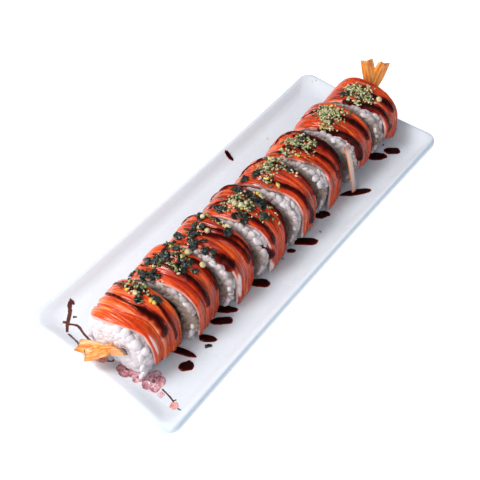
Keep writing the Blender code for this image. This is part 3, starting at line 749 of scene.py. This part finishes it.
# Sauce on the plate: where from, where to, and half the width across.
PUDDLES = (
    ((-91.0, -15.0), (-85.6, -31.8), 1.9), ((-96.6, -28.4), (-89.8, -33.4), 2.8),
    ((-75.9, -24.8), (-71.3, -33.5), 2.2), ((-65.1, -23.4), (-56.4, -32.4), 2.5),
    ((-57.5, -19.5), (-49.8, -30.5), 2.4), ((-32.0, -23.3), (-25.3, -33.8), 2.8),
    ((-1.0, -27.5), (2.3, -31.6), 1.4), ((4.0, -23.5), (16.1, -37.5), 2.7),
    ((30.5, -24.5), (37.3, -31.3), 2.9), ((53.4, -27.6), (68.7, -40.3), 2.2),
    ((91.0, -23.5), (99.3, -32.6), 3.2), ((101.9, -28.7), (108.2, -36.8), 3.0),
    ((33.9, 48.2), (35.0, 42.4), 1.4),
)


def sauce_field(number, along, around):
    """How deep in sauce places on a slice are: 1 in the middle of a line, 0 at its rim, less outside."""
    piece = SLICES[number - 1]
    field = np.full(along.shape, -9.0)
    for order, (slice_number, wide, spots) in enumerate(LINES):
        if slice_number != number:
            continue
        curve = curve_through(np.array(spots) / 100, 8)
        t = np.linspace(0, 1, len(curve))
        widths = 1.12 * wide * (0.45 + 0.55 * smooth(t / 0.25)) * (1 + 0.4 * np.exp(-((1 - t) / 0.12) ** 2))
        widths *= 1 + 0.35 * ripple(t * 6, order * 3.7)
        for (at, turn), width in zip(curve, widths):
            away = np.hypot(along - at * piece.thick, (around - turn) * ARCH_LENGTH)
            field = np.maximum(field, 1 - (away / width) ** 2)
    return field + 0.35 * ripple(along * 0.45, around * 42, number * 5.0)


# How far over and under the rice's arch the sauce looks for what it lies on.
OVER, UNDER = 9.0, 3.0


def make_lines(finish, strips):
    """Sauce over the slices: it fills the grooves, swells along its lines and thins out at their rims."""
    points, faces, depth = [], [], []
    for piece, strip in zip(SLICES, strips):
        tree = tree_of(strip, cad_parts[f"rice_{piece.number}"])
        along, around = np.meshgrid(np.arange(-piece.thick / 2, piece.thick / 2 + 0.3, 0.4),
                                    np.arange(0.06, 0.84, 0.005), indexing="ij")
        field = sauce_field(piece.number, along, around)
        above, below = on_cover(piece, along, around, OVER), on_cover(piece, along, around, -UNDER)
        rise = np.full(field.shape, np.nan)
        for spot in map(tuple, np.argwhere(field > -1.2)):
            hit, _ = dropped(tree, above[spot], below[spot])
            if hit is not None:
                fallen = np.linalg.norm(hit - above[spot]) / np.linalg.norm(below[spot] - above[spot])
                rise[spot] = OVER - (OVER + UNDER) * fallen
        known = np.isfinite(rise)
        rise = np.where(known, rise, 0.0)
        level, weight = rise, known.astype(float)
        for _ in range(3):
            for axis in (0, 1):
                level, weight = (v + np.roll(v, 1, axis) + np.roll(v, -1, axis) for v in (level, weight))
        level = np.where(known, level / np.maximum(weight, 1e-9), 0.0)
        level = np.maximum(level, rise - 0.1) + 0.75 * np.sqrt(np.clip(field, 0, 1)) + 2.2 * np.minimum(field, 0)
        laid = above + (below - above) * ((OVER - level) / (OVER + UNDER))[..., None]
        used = known & (field > -0.5)
        order = np.cumsum(used).reshape(used.shape) - 1 + sum(map(len, points))
        whole = used[:-1, :-1] & used[1:, :-1] & used[1:, 1:] & used[:-1, 1:]
        faces.append(np.stack([order[:-1, :-1], order[1:, :-1], order[1:, 1:], order[:-1, 1:]], -1)[whole])
        points.append(laid[used])
        depth.append(np.clip(field[used], 0, 1))
    make_piece("sauce_lines", *map(np.concatenate, (points, faces)), finish, depth=np.concatenate(depth))


# A puddle's rings from its rim inwards: how big, and how high.
DOME = ((1.0, 0.0), (0.985, 0.22), (0.93, 0.42), (0.80, 0.62), (0.55, 0.75), (0.25, 0.80), (0.04, 0.82))


def make_puddles(finish, plate_tree):
    """Thin domed puddles whose rims follow the plate."""
    built = Builder()
    ca, sa = circle(40)
    for order, (start, end, half_wide) in enumerate(PUDDLES):
        start, end = np.array(start), np.array(end)
        half = (end - start) / 2
        ragged = 1 + 0.22 * ripple(ca * 1.3 + order * 3.1, sa * 1.3) + 0.10 * ripple(ca * 4, sa * 4, order)
        wide = half_wide * ragged * (1 + 0.2 * ca * (1 if order % 2 else -1))
        outline = 1.02 * (np.outer(blunt(ca, 0.88) * (1 + 0.4 * (ragged - 1)), half)
                          + np.outer(blunt(sa, 0.88) * wide, unit(np.array([-half[1], half[0]]))))
        rings = [[on_plate(plate_tree, x, y, 0.03 + rise) for x, y in (start + end) / 2 + outline * scale]
                 for scale, rise in DOME]
        built.sheet(rings, 0.06, depth=[smooth((1 - scale) / 0.16) for scale, _ in DOME])
    built.piece("sauce_puddles", finish)


# Furikake

def scrap(draw, number):
    """A crinkled flake about two units across: a bent sheet with a ragged outline and some thickness."""
    sides, rings = 6, 3
    outline = [draw.uniform(0.55, 1.15) for _ in range(sides)]
    top = [(0.0, 0.0, 0.10)]
    for ring in range(1, rings + 1):
        for k, radius in enumerate(outline):
            x, y = (radius * ring / rings * way(TAU * k / sides) for way in (math.cos, math.sin))
            top.append((x, y, 0.10 + 0.42 * wander(x * 1.6, y * 1.6, number) + 0.16 * wander(x * 5, y * 5, number)))
    size, faces = len(top), []
    for base, order in ((0, 1), (size, -1)):
        faces += [[base, base + 1 + k, base + 1 + (k + 1) % sides][::order] for k in range(sides)]
        for a in range(base + 1, base + 1 + (rings - 1) * sides, sides):
            for k in range(sides):
                n, b = (k + 1) % sides, a + sides
                faces += [[a + k, b + k, b + n][::order], [a + k, b + n, a + n][::order]]
    rim = 1 + (rings - 1) * sides
    for k in range(sides):
        n = (k + 1) % sides
        faces += [[rim + k, size + rim + k, size + rim + n], [rim + k, size + rim + n, rim + n]]
    return np.array(top + [(x, y, z - 0.12) for x, y, z in top]), np.array(faces)


# Kinds of furikake: how many more there are than CLUSTERS says, ranges of size and of lift over the
# strips, three proportions or the range of the second, how much they tilt, roughness and colours.
Kind = namedtuple("Kind", "name more size lift shape tilt roughness colours")
KINDS = (
    Kind("nori_flakes", 1.35, (1.6, 3.3), (0.3, 1.6), (0.55, 0.95), 1.0, 0.28,
         ((0.004, 0.006, 0.005), (0.009, 0.013, 0.009), (0.030, 0.040, 0.036))),
    Kind("green_flakes", 2.2, (0.6, 1.5), (0.3, 1.6), (0.5, 0.9), 1.4, 0.5,
         ((0.012, 0.022, 0.006), (0.055, 0.080, 0.020), (0.20, 0.25, 0.08), (0.03, 0.045, 0.012))),
    Kind("sesame_seeds", 1.75, (0.45, 0.82), (0.35, 0.8), (1.35, 0.85, 0.62), 1.3, 0.45,
         ((0.14, 0.18, 0.05), (0.40, 0.42, 0.17), (0.66, 0.61, 0.34), (0.82, 0.74, 0.48), (0.30, 0.36, 0.13),
          (0.62, 0.62, 0.30))),
    Kind("egg_crumbs", 1.2, (1.0, 1.5), (0.5, 1.3), (1.0, 0.8, 0.75), 1.0, 0.5,
         ((0.72, 0.47, 0.05), (0.85, 0.66, 0.12))),
    Kind("rice_pearls", 1.0, (1.5, 1.9), None, (1.0, 1.0, 0.95), 0.0, 0.5,
         ((0.62, 0.48, 0.24), (0.76, 0.66, 0.42))),
)
HEAPED_LIFT = 2.0  # how far up seeds lie where there are more than a dozen

# Furikake on the slices: slice, places along the thickness and round the arch in hundredths, spread
# along and round in millimetres, and how many dark flakes, green flakes, seeds, yellow crumbs, pearls.
CLUSTERS = (
    (1, 37, 51, 3.5, 5, 4, 9, 16, 1, 0), (1, 22, 49, 0.6, 0.6, 0, 0, 1, 0, 1), (1, 17, 47, 1, 1, 2, 1, 1, 0, 0),
    (1, 35, 40, 1, 1, 2, 0, 0, 0, 0), (1, 28, 42, 0.8, 1.2, 0, 0, 0, 3, 0),
    (1, 15, 45, 0.8, 0.8, 0, 1, 2, 0, 0), (2, -27, 71, 1.6, 2.2, 1, 7, 3, 0, 0),
    (2, -44, 54, 1.8, 7, 11, 6, 4, 0, 0), (2, -13, 57, 3, 4, 5, 12, 7, 0, 0),
    (2, 10, 54, 2.6, 4.5, 8, 7, 7, 0, 0), (2, -6, 48, 2, 3, 1, 6, 8, 1, 0), (2, 12, 44, 2, 3.2, 8, 1, 0, 0, 0),
    (2, 26, 49, 2, 3, 2, 5, 9, 1, 0), (2, 40, 46, 0.5, 0.5, 0, 0, 0, 0, 1),
    (2, 37, 37, 0.5, 0.5, 0, 0, 0, 0, 1), (2, 42, 54, 2, 4.5, 2, 9, 12, 1, 0),
    (3, -36, 50, 2.2, 5, 13, 3, 1, 0, 0), (3, -10, 56, 2.4, 4.5, 10, 3, 3, 0, 0),
    (3, 5, 50, 0.5, 0.5, 0, 0, 0, 0, 1), (3, 27, 42, 0.9, 0.9, 4, 0, 0, 0, 0),
    (3, 12, 55, 1.6, 3, 2, 3, 6, 0, 0), (3, 42, 58, 1.5, 3.5, 3, 4, 5, 1, 1),
    (3, 42, 49, 1.5, 2.5, 1, 2, 6, 0, 1), (4, -2, 51, 4, 5.5, 3, 10, 56, 1, 3),
    (4, -36, 46, 3, 4, 15, 3, 2, 0, 0), (4, 30, 52, 2, 4.5, 9, 3, 4, 0, 0),
    (4, 22, 45, 1.8, 2.6, 9, 1, 2, 0, 0), (4, 0, 38, 1.8, 2.2, 4, 6, 8, 0, 0),
    (4, -30, 56, 2.2, 4, 4, 6, 10, 1, 0), (4, 30, 36, 5, 5, 1, 1, 6, 0, 0), (4, 44, 46, 1.5, 3, 0, 2, 9, 1, 0),
    (5, 7, 54, 4, 4.5, 2, 12, 40, 1, 0), (5, -14, 57, 1.6, 1.8, 5, 2, 2, 0, 0),
    (5, -34, 63, 1.5, 3, 3, 1, 1, 0, 0), (5, -24, 49, 2.2, 3, 0, 3, 10, 2, 0),
    (5, 36, 46, 2.2, 4, 1, 3, 12, 0, 0), (5, 40, 55, 2, 3.5, 1, 4, 14, 1, 0), (6, 0, 53, 3, 6, 3, 10, 50, 0, 0),
    (6, 24, 51, 2, 3.5, 4, 5, 16, 1, 0), (6, 20, 46, 1.8, 3, 1, 4, 12, 0, 0),
    (6, -36, 54, 2.2, 4, 2, 6, 22, 2, 0), (6, -10, 45, 2.5, 3.5, 0, 2, 8, 0, 0),
    (7, 12, 52, 4.6, 5.5, 1, 10, 78, 1, 0), (7, -12, 52, 3, 4, 1, 5, 28, 0, 0),
    (7, -36, 48, 2.6, 3.5, 0, 2, 20, 1, 0), (8, -5, 55, 3.4, 3.2, 1, 5, 26, 0, 0),
    (8, 5, 49.5, 4.2, 4.8, 3, 10, 54, 1, 0), (8, -12, 45, 3, 3.4, 2, 4, 26, 0, 0),
    (8, -38, 48, 2.2, 3.8, 0, 2, 16, 0, 0), (8, -27, 56, 0.9, 1, 4, 0, 1, 0, 0),
    (8, 6, 38, 1.2, 1.2, 0, 0, 3, 0, 1),
)

# Flakes and crumbs on the plate: place and size.
FALLEN_FLAKES = ((-77.0, -32.1, 1.8), (-76.2, -33.0, 1.4), (-78.0, -31.6, 1.3), (22.3, -34.5, 1.1),
                 (106.0, -25.5, 0.9), (-7.0, -29.2, 0.6))
FALLEN_CRUMBS = ((63.8, 37.4, 0.7), (124.2, 41.4, 0.5), (122.5, 43.5, 0.5))


def make_furikake(strips, plate_tree):
    draw = random.Random(77)
    laid = [[] for _ in KINDS]
    trees = [tree_of(s) for s in strips]
    for number, u, s, spread_u, spread_s, *counts in CLUSTERS:
        piece = SLICES[number - 1]
        for kind, spots, count in zip(KINDS, laid, counts):
            for _ in range(round(count * kind.more)):
                along = u / 100 * piece.thick + draw.gauss(0, spread_u * 0.62)
                around = s / 100 + draw.gauss(0, spread_s * 0.62) / ARCH_LENGTH
                above, below = (on_cover(piece, along, around, far) for far in (9.0, -2.0))
                hit, normal = dropped(trees[number - 1], above, below)
                if hit is None:
                    continue
                way = unit(above - below)
                tilt = kind.tilt * draw.gauss(0, 0.35)
                size, shape = draw.uniform(*kind.size), kind.shape
                lift = 0.7 * size
                if kind.lift:
                    low, high = kind.lift
                    heaped = kind.name == "sesame_seeds" and count > 12
                    lift = draw.uniform(low, HEAPED_LIFT if heaped else high)
                if len(shape) == 2:
                    shape = (1.0, draw.uniform(*shape), 1.0)
                spots.append((hit + way * lift, normal + way * 1.5, size * np.array(shape), tilt))
    for x, y, size in FALLEN_FLAKES:
        laid[0].append((on_plate(plate_tree, x, y, 0.35), (0, 0, 1), (size, size * 0.7, size), draw.gauss(0, 0.3)))
    for x, y, size in FALLEN_CRUMBS:
        laid[3].append((on_plate(plate_tree, x, y, 0.3), (0, 0, 1), (size, size * 0.8, size * 0.7), 0.0))
    for kind, spots in zip(KINDS, laid):
        built = Builder()
        if kind.name.endswith("flakes"):
            for number, spot in enumerate(spots):
                built.add(*laid_copies(scrap(draw, number * 1.7), [spot], draw))
        else:
            built.add(*laid_copies(changed_ball(seed if kind.name == "sesame_seeds" else grain), spots, draw))
        built.piece(kind.name, speckled(kind.name, kind.colours, kind.roughness))


# Filling

def make_fillings():
    """The nori, prawn and greens of each slice, wavier and finer than their solids."""
    sheet = speckled("nori_sheet", ((0.008, 0.014, 0.007), (0.016, 0.024, 0.012)), 0.4)
    batter = speckled("fried_batter", ((0.42, 0.20, 0.06), (0.55, 0.30, 0.11)), 0.6, 420, bump=0.001)
    leaf = speckled("dark_greens", ((0.020, 0.032, 0.008), (0.050, 0.060, 0.016), (0.10, 0.085, 0.03)), 0.45, 500)
    ca, sa = circle(64)
    half_v, half_w = CORE_HALF
    for piece in SLICES:
        number = piece.number
        near = -piece.thick / 2 + (5.8 if piece.cap == "near" else 0.3)
        far = piece.thick / 2 - (5.8 if piece.cap == "far" else 0.3)
        wave = 0.35 * ripple(ca * 2, sa * 2, number * 3.0)
        rings = [place(piece, u + 1.2 * wave, (half_v + grow + wave) * ca, CORE_HEIGHT + (half_w + grow + wave) * sa)
                 for grow, u in ((0.9, near), (0.9, far), (0.25, far), (0.25, near))]
        Builder().loft(rings, closed=True).piece(
            f"nori_sheet_{number}", sheet, slot="nori", replaces=(f"nori_{number}",))

        rings = []
        for u, scale in ((near, 0.0), (near, 0.5), (near - 0.1, 0.8), (near + 0.8, 1.0), (0.0, 1.0),
                         (far - 0.8, 1.0), (far + 0.1, 0.8), (far, 0.5), (far, 0.0)):
            lump = (scale + 0.02) * (1 + 0.10 * ripple(ca * 1.8, sa * 1.8, number + scale * 3))
            rough = 0.30 * ripple(ca * 5, sa * 5, number * 2 + scale * 7)
            rings.append(place(piece, u + rough, 3.2 + 7.0 * lump * ca, CORE_HEIGHT + 6.2 * lump * sa))
        Builder().loft(rings).piece(
            f"prawn_meat_{number}", batter, slot="fried_prawn", replaces=(f"prawn_{number}",))

        draw, built = random.Random(900 + number), Builder()
        for _ in range(26):
            angle, reach = math.pi + draw.uniform(-1.25, 1.25), draw.uniform(0.80, 0.95)
            half, spin = draw.uniform(0.5, 1.0), draw.uniform(0, math.pi)
            cs, sn = half * math.cos(spin), half * math.sin(spin)
            rings = []
            for k in range(5):
                u = mix(near - draw.uniform(-0.2, 0.5), far, k / 4)
                v = half_v * reach * math.cos(angle) + draw.uniform(-0.3, 0.3)
                w = CORE_HEIGHT + half_w * reach * math.sin(angle) + draw.uniform(-0.3, 0.3)
                rings.append(place(piece, u, v + np.array([cs, -sn * 0.35, -cs, sn * 0.35]),
                                   w + np.array([sn, cs * 0.35, -sn, -cs * 0.35])))
            built.loft(rings)
        built.piece(f"leaves_{number}", leaf, slot="greens", replaces=(f"greens_{number}",))


# Tails: the slice and its end, where the blades begin, and each blade's tip, way across and half width.
Tail = namedtuple("Tail", "name slice_number end bend blades")
TAILS = (
    Tail("tail_near", 1, -1, (-118.0, 0.0, 28.0), (
        ((-123.5, 14.0, 25.5), (-0.85, -0.5, 0.0), 3.3),
        ((-126.0, 6.5, 26.5), (-0.85, -0.5, 0.0), 3.3),
        ((-114.0, -12.0, 37.0), (-0.1, 0.6, 0.8), 2.6),
    )),
    Tail("tail_far", 8, 1, (121.0, -3.0, 36.0), (
        ((119.0, 2.2, 57.0), (0.6, -0.8, 0.0), 3.4),
        ((125.0, -6.8, 56.0), (0.6, -0.8, 0.0), 3.4),
    )),
)


def make_tails(finish):
    """A root, and blades with ribs and ragged ends. The third near blade is dark at its tip."""
    for tail in TAILS:
        piece, built = SLICES[tail.slice_number - 1], Builder()
        path = [place(piece, tail.end * (piece.thick / 2 + out), 0, CORE_HEIGHT) for out in (-5.1, 3.2)]
        path = curve_through([*path, tail.bend], 6)
        i, k = np.indices((len(path), 16))
        radius = (2.5 - 0.5 * i / len(path)) * (1 + 0.12 * ripple(k * 0.9, i * 0.5))
        ways = np.array([ways_at(path, number, (0, 1, 0)) for number in range(len(path))])[:, None]
        angle = TAU * k / 16
        rings = (path[:, None] + ways[:, :, 1] * (radius * np.cos(angle))[..., None]
                 + ways[:, :, 2] * (radius * np.sin(angle))[..., None])
        built.loft(rings, fibre=np.stack([k * 0.6, i, np.full(k.shape, 7.0)], -1), burnt=np.zeros(k.shape))
        for number, (tip, across, half) in enumerate(tail.blades):
            root, tip = np.array(tail.bend) + (0, 0, 0.25 * number), np.array(tip)
            ahead, up, across = ways_at((root, tip), 0, across)
            t, angle = np.meshgrid(np.linspace(0, 1, 31), TAU * np.arange(36) / 36, indexing="ij")
            a, b = np.cos(angle), np.sin(angle)
            width = half * (0.46 + 0.72 * np.sin(math.pi * (0.08 + 0.60 * t)) + 0.25 * (1 - t) ** 2)
            ragged = 2.2 * ripple(a * 2.5, number * 5.0 + tail.end) + 1.3 * ripple(a * 9, number)
            out = (np.linalg.norm(tip - root) + 2.0) * t - 2.0 + t ** 3 * ragged
            rib = 0.20 * np.sin(a * 19 + number) + 0.35 * np.exp(-(a / 0.16) ** 2)
            curl = 0.9 * a * a * t + 0.7 * ripple(t * 3, a, number * 4.0) * t
            rise = (0.50 + rib) * (1 - 0.35 * t) * blunt(b, 0.7) - curl
            rings = root + sum(way * far[..., None] for way, far in ((ahead, out), (across, a * width), (up, rise)))
            # The blades darken towards their tips, the third near blade most.
            begins, dark = (0.78, 0.9) if number == 2 else (0.93, 0.3)
            fibre = np.stack([a * 4.0, t * 18.0, np.full(t.shape, 31.0 + number * 9 + tail.end)], -1)
            built.loft(rings, fibre=fibre, burnt=dark * smooth((t - begins) / 0.12))
        built.piece(f"{tail.name}_fan", finish, slot="prawn_tail", replaces=(tail.name,))


# The print

# Brushed lines of the branch: half width and places on the plate.
TWIGS = (
    (1.15, ((-102.6, 45.0), (-105.6, 44.2), (-108.5, 41.1), (-112.6, 38.0), (-115.6, 35.6), (-118.6, 32.2))),
    (0.8, ((-104.8, 45.0), (-103.2, 42.9))),
    (0.9, ((-115.4, 39.3), (-113.9, 37.3))),
    (0.7, ((-114.4, 36.3), (-112.4, 33.0), (-111.9, 30.3), (-113.2, 25.0), (-113.8, 19.0), (-112.4, 17.9))),
    (0.6, ((-113.8, 19.0), (-118.8, 21.7))),
    (0.6, ((-118.8, 31.0), (-119.1, 26.8), (-119.7, 22.2), (-121.4, 18.4), (-122.7, 15.4), (-120.6, 14.7))),
    (0.6, ((-109.6, 37.6), (-108.2, 35.8))),
    (0.45, ((-117.2, 3.2), (-115.0, 1.1), (-114.1, 2.0))),
    (0.45, ((-110.5, -29.8), (-111.0, -34.4), (-111.9, -38.6), (-112.9, -39.8))),
    (0.4, ((-111.9, -38.6), (-110.3, -39.6))),
    (0.4, ((-113.7, -43.3), (-113.7, -45.9))),
)
# Blossoms: middle, radius, petals, turn, and whether it is one of the pink ones.
BLOSSOMS = (
    ((-110.2, -23.4), 6.4, 5, 0.3, True), ((-113.6, -8.0), 5.8, 5, 0.9, True), ((-113.6, -15.5), 3.6, 4, 0.2, True),
    ((-118.4, 6.3), 3.6, 5, 0.5, False), ((-113.6, -41.0), 2.4, 5, 0.1, False), ((-113.2, -31.6), 1.8, 4, 0.7, True),
)
INK_RISE = 0.05
HEART_RISE = INK_RISE + 0.09


def laid_sheet(built, rings, plate_tree, rise=INK_RISE):
    """Lays rings of (x, y) on the plate as one thin sheet, which knows how far out its points are."""
    tone = [1 - number / (len(rings) - 1) for number in range(len(rings))]
    built.sheet([[on_plate(plate_tree, x, y, rise) for x, y in ring] for ring in rings], 0.04, tone=tone)


def disc(x, y, radius, number, steps=24):
    """Rings of an uneven spot, from its rim to its middle."""
    ca, sa = circle(steps)
    reach = radius * (1 + 0.3 * ripple(ca * 2, sa * 2, number))
    return [np.stack([x + scale * reach * ca, y + scale * reach * sa], 1) for scale in (1.0, 0.6, 0.05)]


def make_print(plate_tree):
    branch = Builder()
    for order, (wide, spots) in enumerate(TWIGS):
        path = curve_through(spots, 6)
        ahead = np.gradient(path, axis=0)
        ahead /= np.linalg.norm(ahead, axis=1)[:, None]
        i = np.arange(len(path))
        half = wide * (1 + 0.35 * ripple(i * 0.5, order * 4.1)) * (1 - 0.5 * (i / len(path)) ** 3)
        side = np.stack([-ahead[:, 1], ahead[:, 0]], 1) * half[:, None]
        left, right = path + side, path - side
        for quad in zip(left, left[1:], right[1:], right):
            branch.add([on_plate(plate_tree, x, y, INK_RISE) for x, y in quad], [[3, 2, 1, 0]])
    branch.piece("print_branch", printed("branch_ink", (0.055, 0.012, 0.010), (0.13, 0.030, 0.022), 260))
    pink = printed("blossom_ink", (0.50, 0.17, 0.20), (0.87, 0.58, 0.66), 420, dotted=0.5)
    salmon = printed("bud_ink", (0.72, 0.22, 0.18), (0.90, 0.55, 0.50), 420, dotted=0.5)
    heart = printed("heart_ink", (0.10, 0.04, 0.05), (0.30, 0.10, 0.14), 400)
    sheets, hearts = {True: Builder(), False: Builder()}, Builder()
    ca, sa = circle(36)
    for order, ((x, y), radius, petals, turn, mauve) in enumerate(BLOSSOMS):
        for number in range(petals):
            way = turn + TAU * number / petals
            ragged = 1 + 0.16 * ripple(ca * 2.2, sa * 2.2, order * 2.0 + number)
            rings = []
            for scale in (1.0, 0.8, 0.55, 0.3, 0.03):
                ahead, aside = radius * (0.55 + 0.46 * scale * ragged * ca), radius * 0.50 * scale * ragged * sa
                rings.append(np.stack([x + ahead * math.cos(way) - aside * math.sin(way),
                                       y + ahead * math.sin(way) + aside * math.cos(way)], 1))
            laid_sheet(sheets[mauve], rings, plate_tree, INK_RISE + 0.012 * number)
        if radius > 3:
            laid_sheet(hearts, disc(x, y, radius * 0.17, order), plate_tree, HEART_RISE)
            for number in range(9):
                way, reach = turn + 0.4 + TAU * number / 9, radius * (0.36 + 0.14 * (number % 2))
                spot = disc(x + reach * math.cos(way), y + reach * math.sin(way), radius * 0.055, number, 8)
                laid_sheet(hearts, spot, plate_tree, HEART_RISE)
    sheets[True].piece("print_pink", pink)
    sheets[False].piece("print_salmon", salmon)
    hearts.piece("print_hearts", heart)


# Room, lights and camera

def make_stage():
    shape = bmesh.new()
    bmesh.ops.create_grid(shape, x_segments=1, y_segments=1, size=4.0)
    mesh = bpy.data.meshes.new("floor")
    shape.to_mesh(mesh)
    shape.free()
    floor = new_object("floor", mesh)
    floor.location.z = -0.0002
    mesh.materials.append(Finish("pale_floor", Roughness=0.8, Base_Color=(0.6, 0.6, 0.61),
                                 Emission_Color=(1.0, 1.0, 1.0), Emission_Strength=0.8).material)


def area_light(name, location, target, size, power, colour):
    data = bpy.data.lights.new(name, "AREA")
    data.size, data.energy, data.color = size, power, colour
    obj = new_object(name, data)
    obj.location = location
    obj.rotation_euler = (Vector(target) - Vector(location)).to_track_quat("-Z", "Y").to_euler()


def make_lights():
    area_light("window", (-0.38, 0.27, 0.68), (0, 0, 0.02), 0.32, 5.8, (1.0, 0.985, 0.97))
    area_light("near_window", (-0.80, -0.10, 0.50), (-0.05, 0, 0.03), 0.5, 2.5, (1.0, 0.97, 0.95))
    world = bpy.context.scene.world or bpy.data.worlds.new("room")
    bpy.context.scene.world = world
    world.use_nodes = True
    back = world.node_tree.nodes["Background"]
    back.inputs["Color"].default_value = (0.88, 0.94, 1.0, 1)
    back.inputs["Strength"].default_value = 0.35


# The photograph's camera: where it stands, and the ways it looks and has to its right.
CAMERA_PLACE, CAMERA_LENS = (-0.20694, -0.16676, 0.3526), 54.3
CAMERA_FORWARD = Vector((0.45722614, 0.38818565, -0.80016008))
CAMERA_RIGHT = Vector((0.63012636, -0.77631616, -0.01655237))


def make_camera():
    data = bpy.data.cameras.new("camera")
    data.sensor_width, data.lens = 36.0, CAMERA_LENS
    data.clip_start, data.clip_end = 0.01, 20.0
    camera = new_object("camera", data)
    up = CAMERA_RIGHT.cross(CAMERA_FORWARD)
    camera.matrix_world = (Matrix.Translation(CAMERA_PLACE)
                           @ Matrix((CAMERA_RIGHT, up, -CAMERA_FORWARD)).transposed().to_4x4())
    bpy.context.scene.camera = camera


make_camera()
plate_tree = tree_of(make_plate())
make_rice(rice_finish())
crab = crab_finish()
strips = make_strips(crab)
make_loose_strip(crab)
sauce = sauce_finish()
make_lines(sauce, strips)
make_puddles(sauce, plate_tree)
make_furikake(strips, plate_tree)
make_fillings()
make_tails(tail_finish())
make_print(plate_tree)
make_stage()
make_lights()
bpy.context.scene.view_settings.view_transform = "Standard"
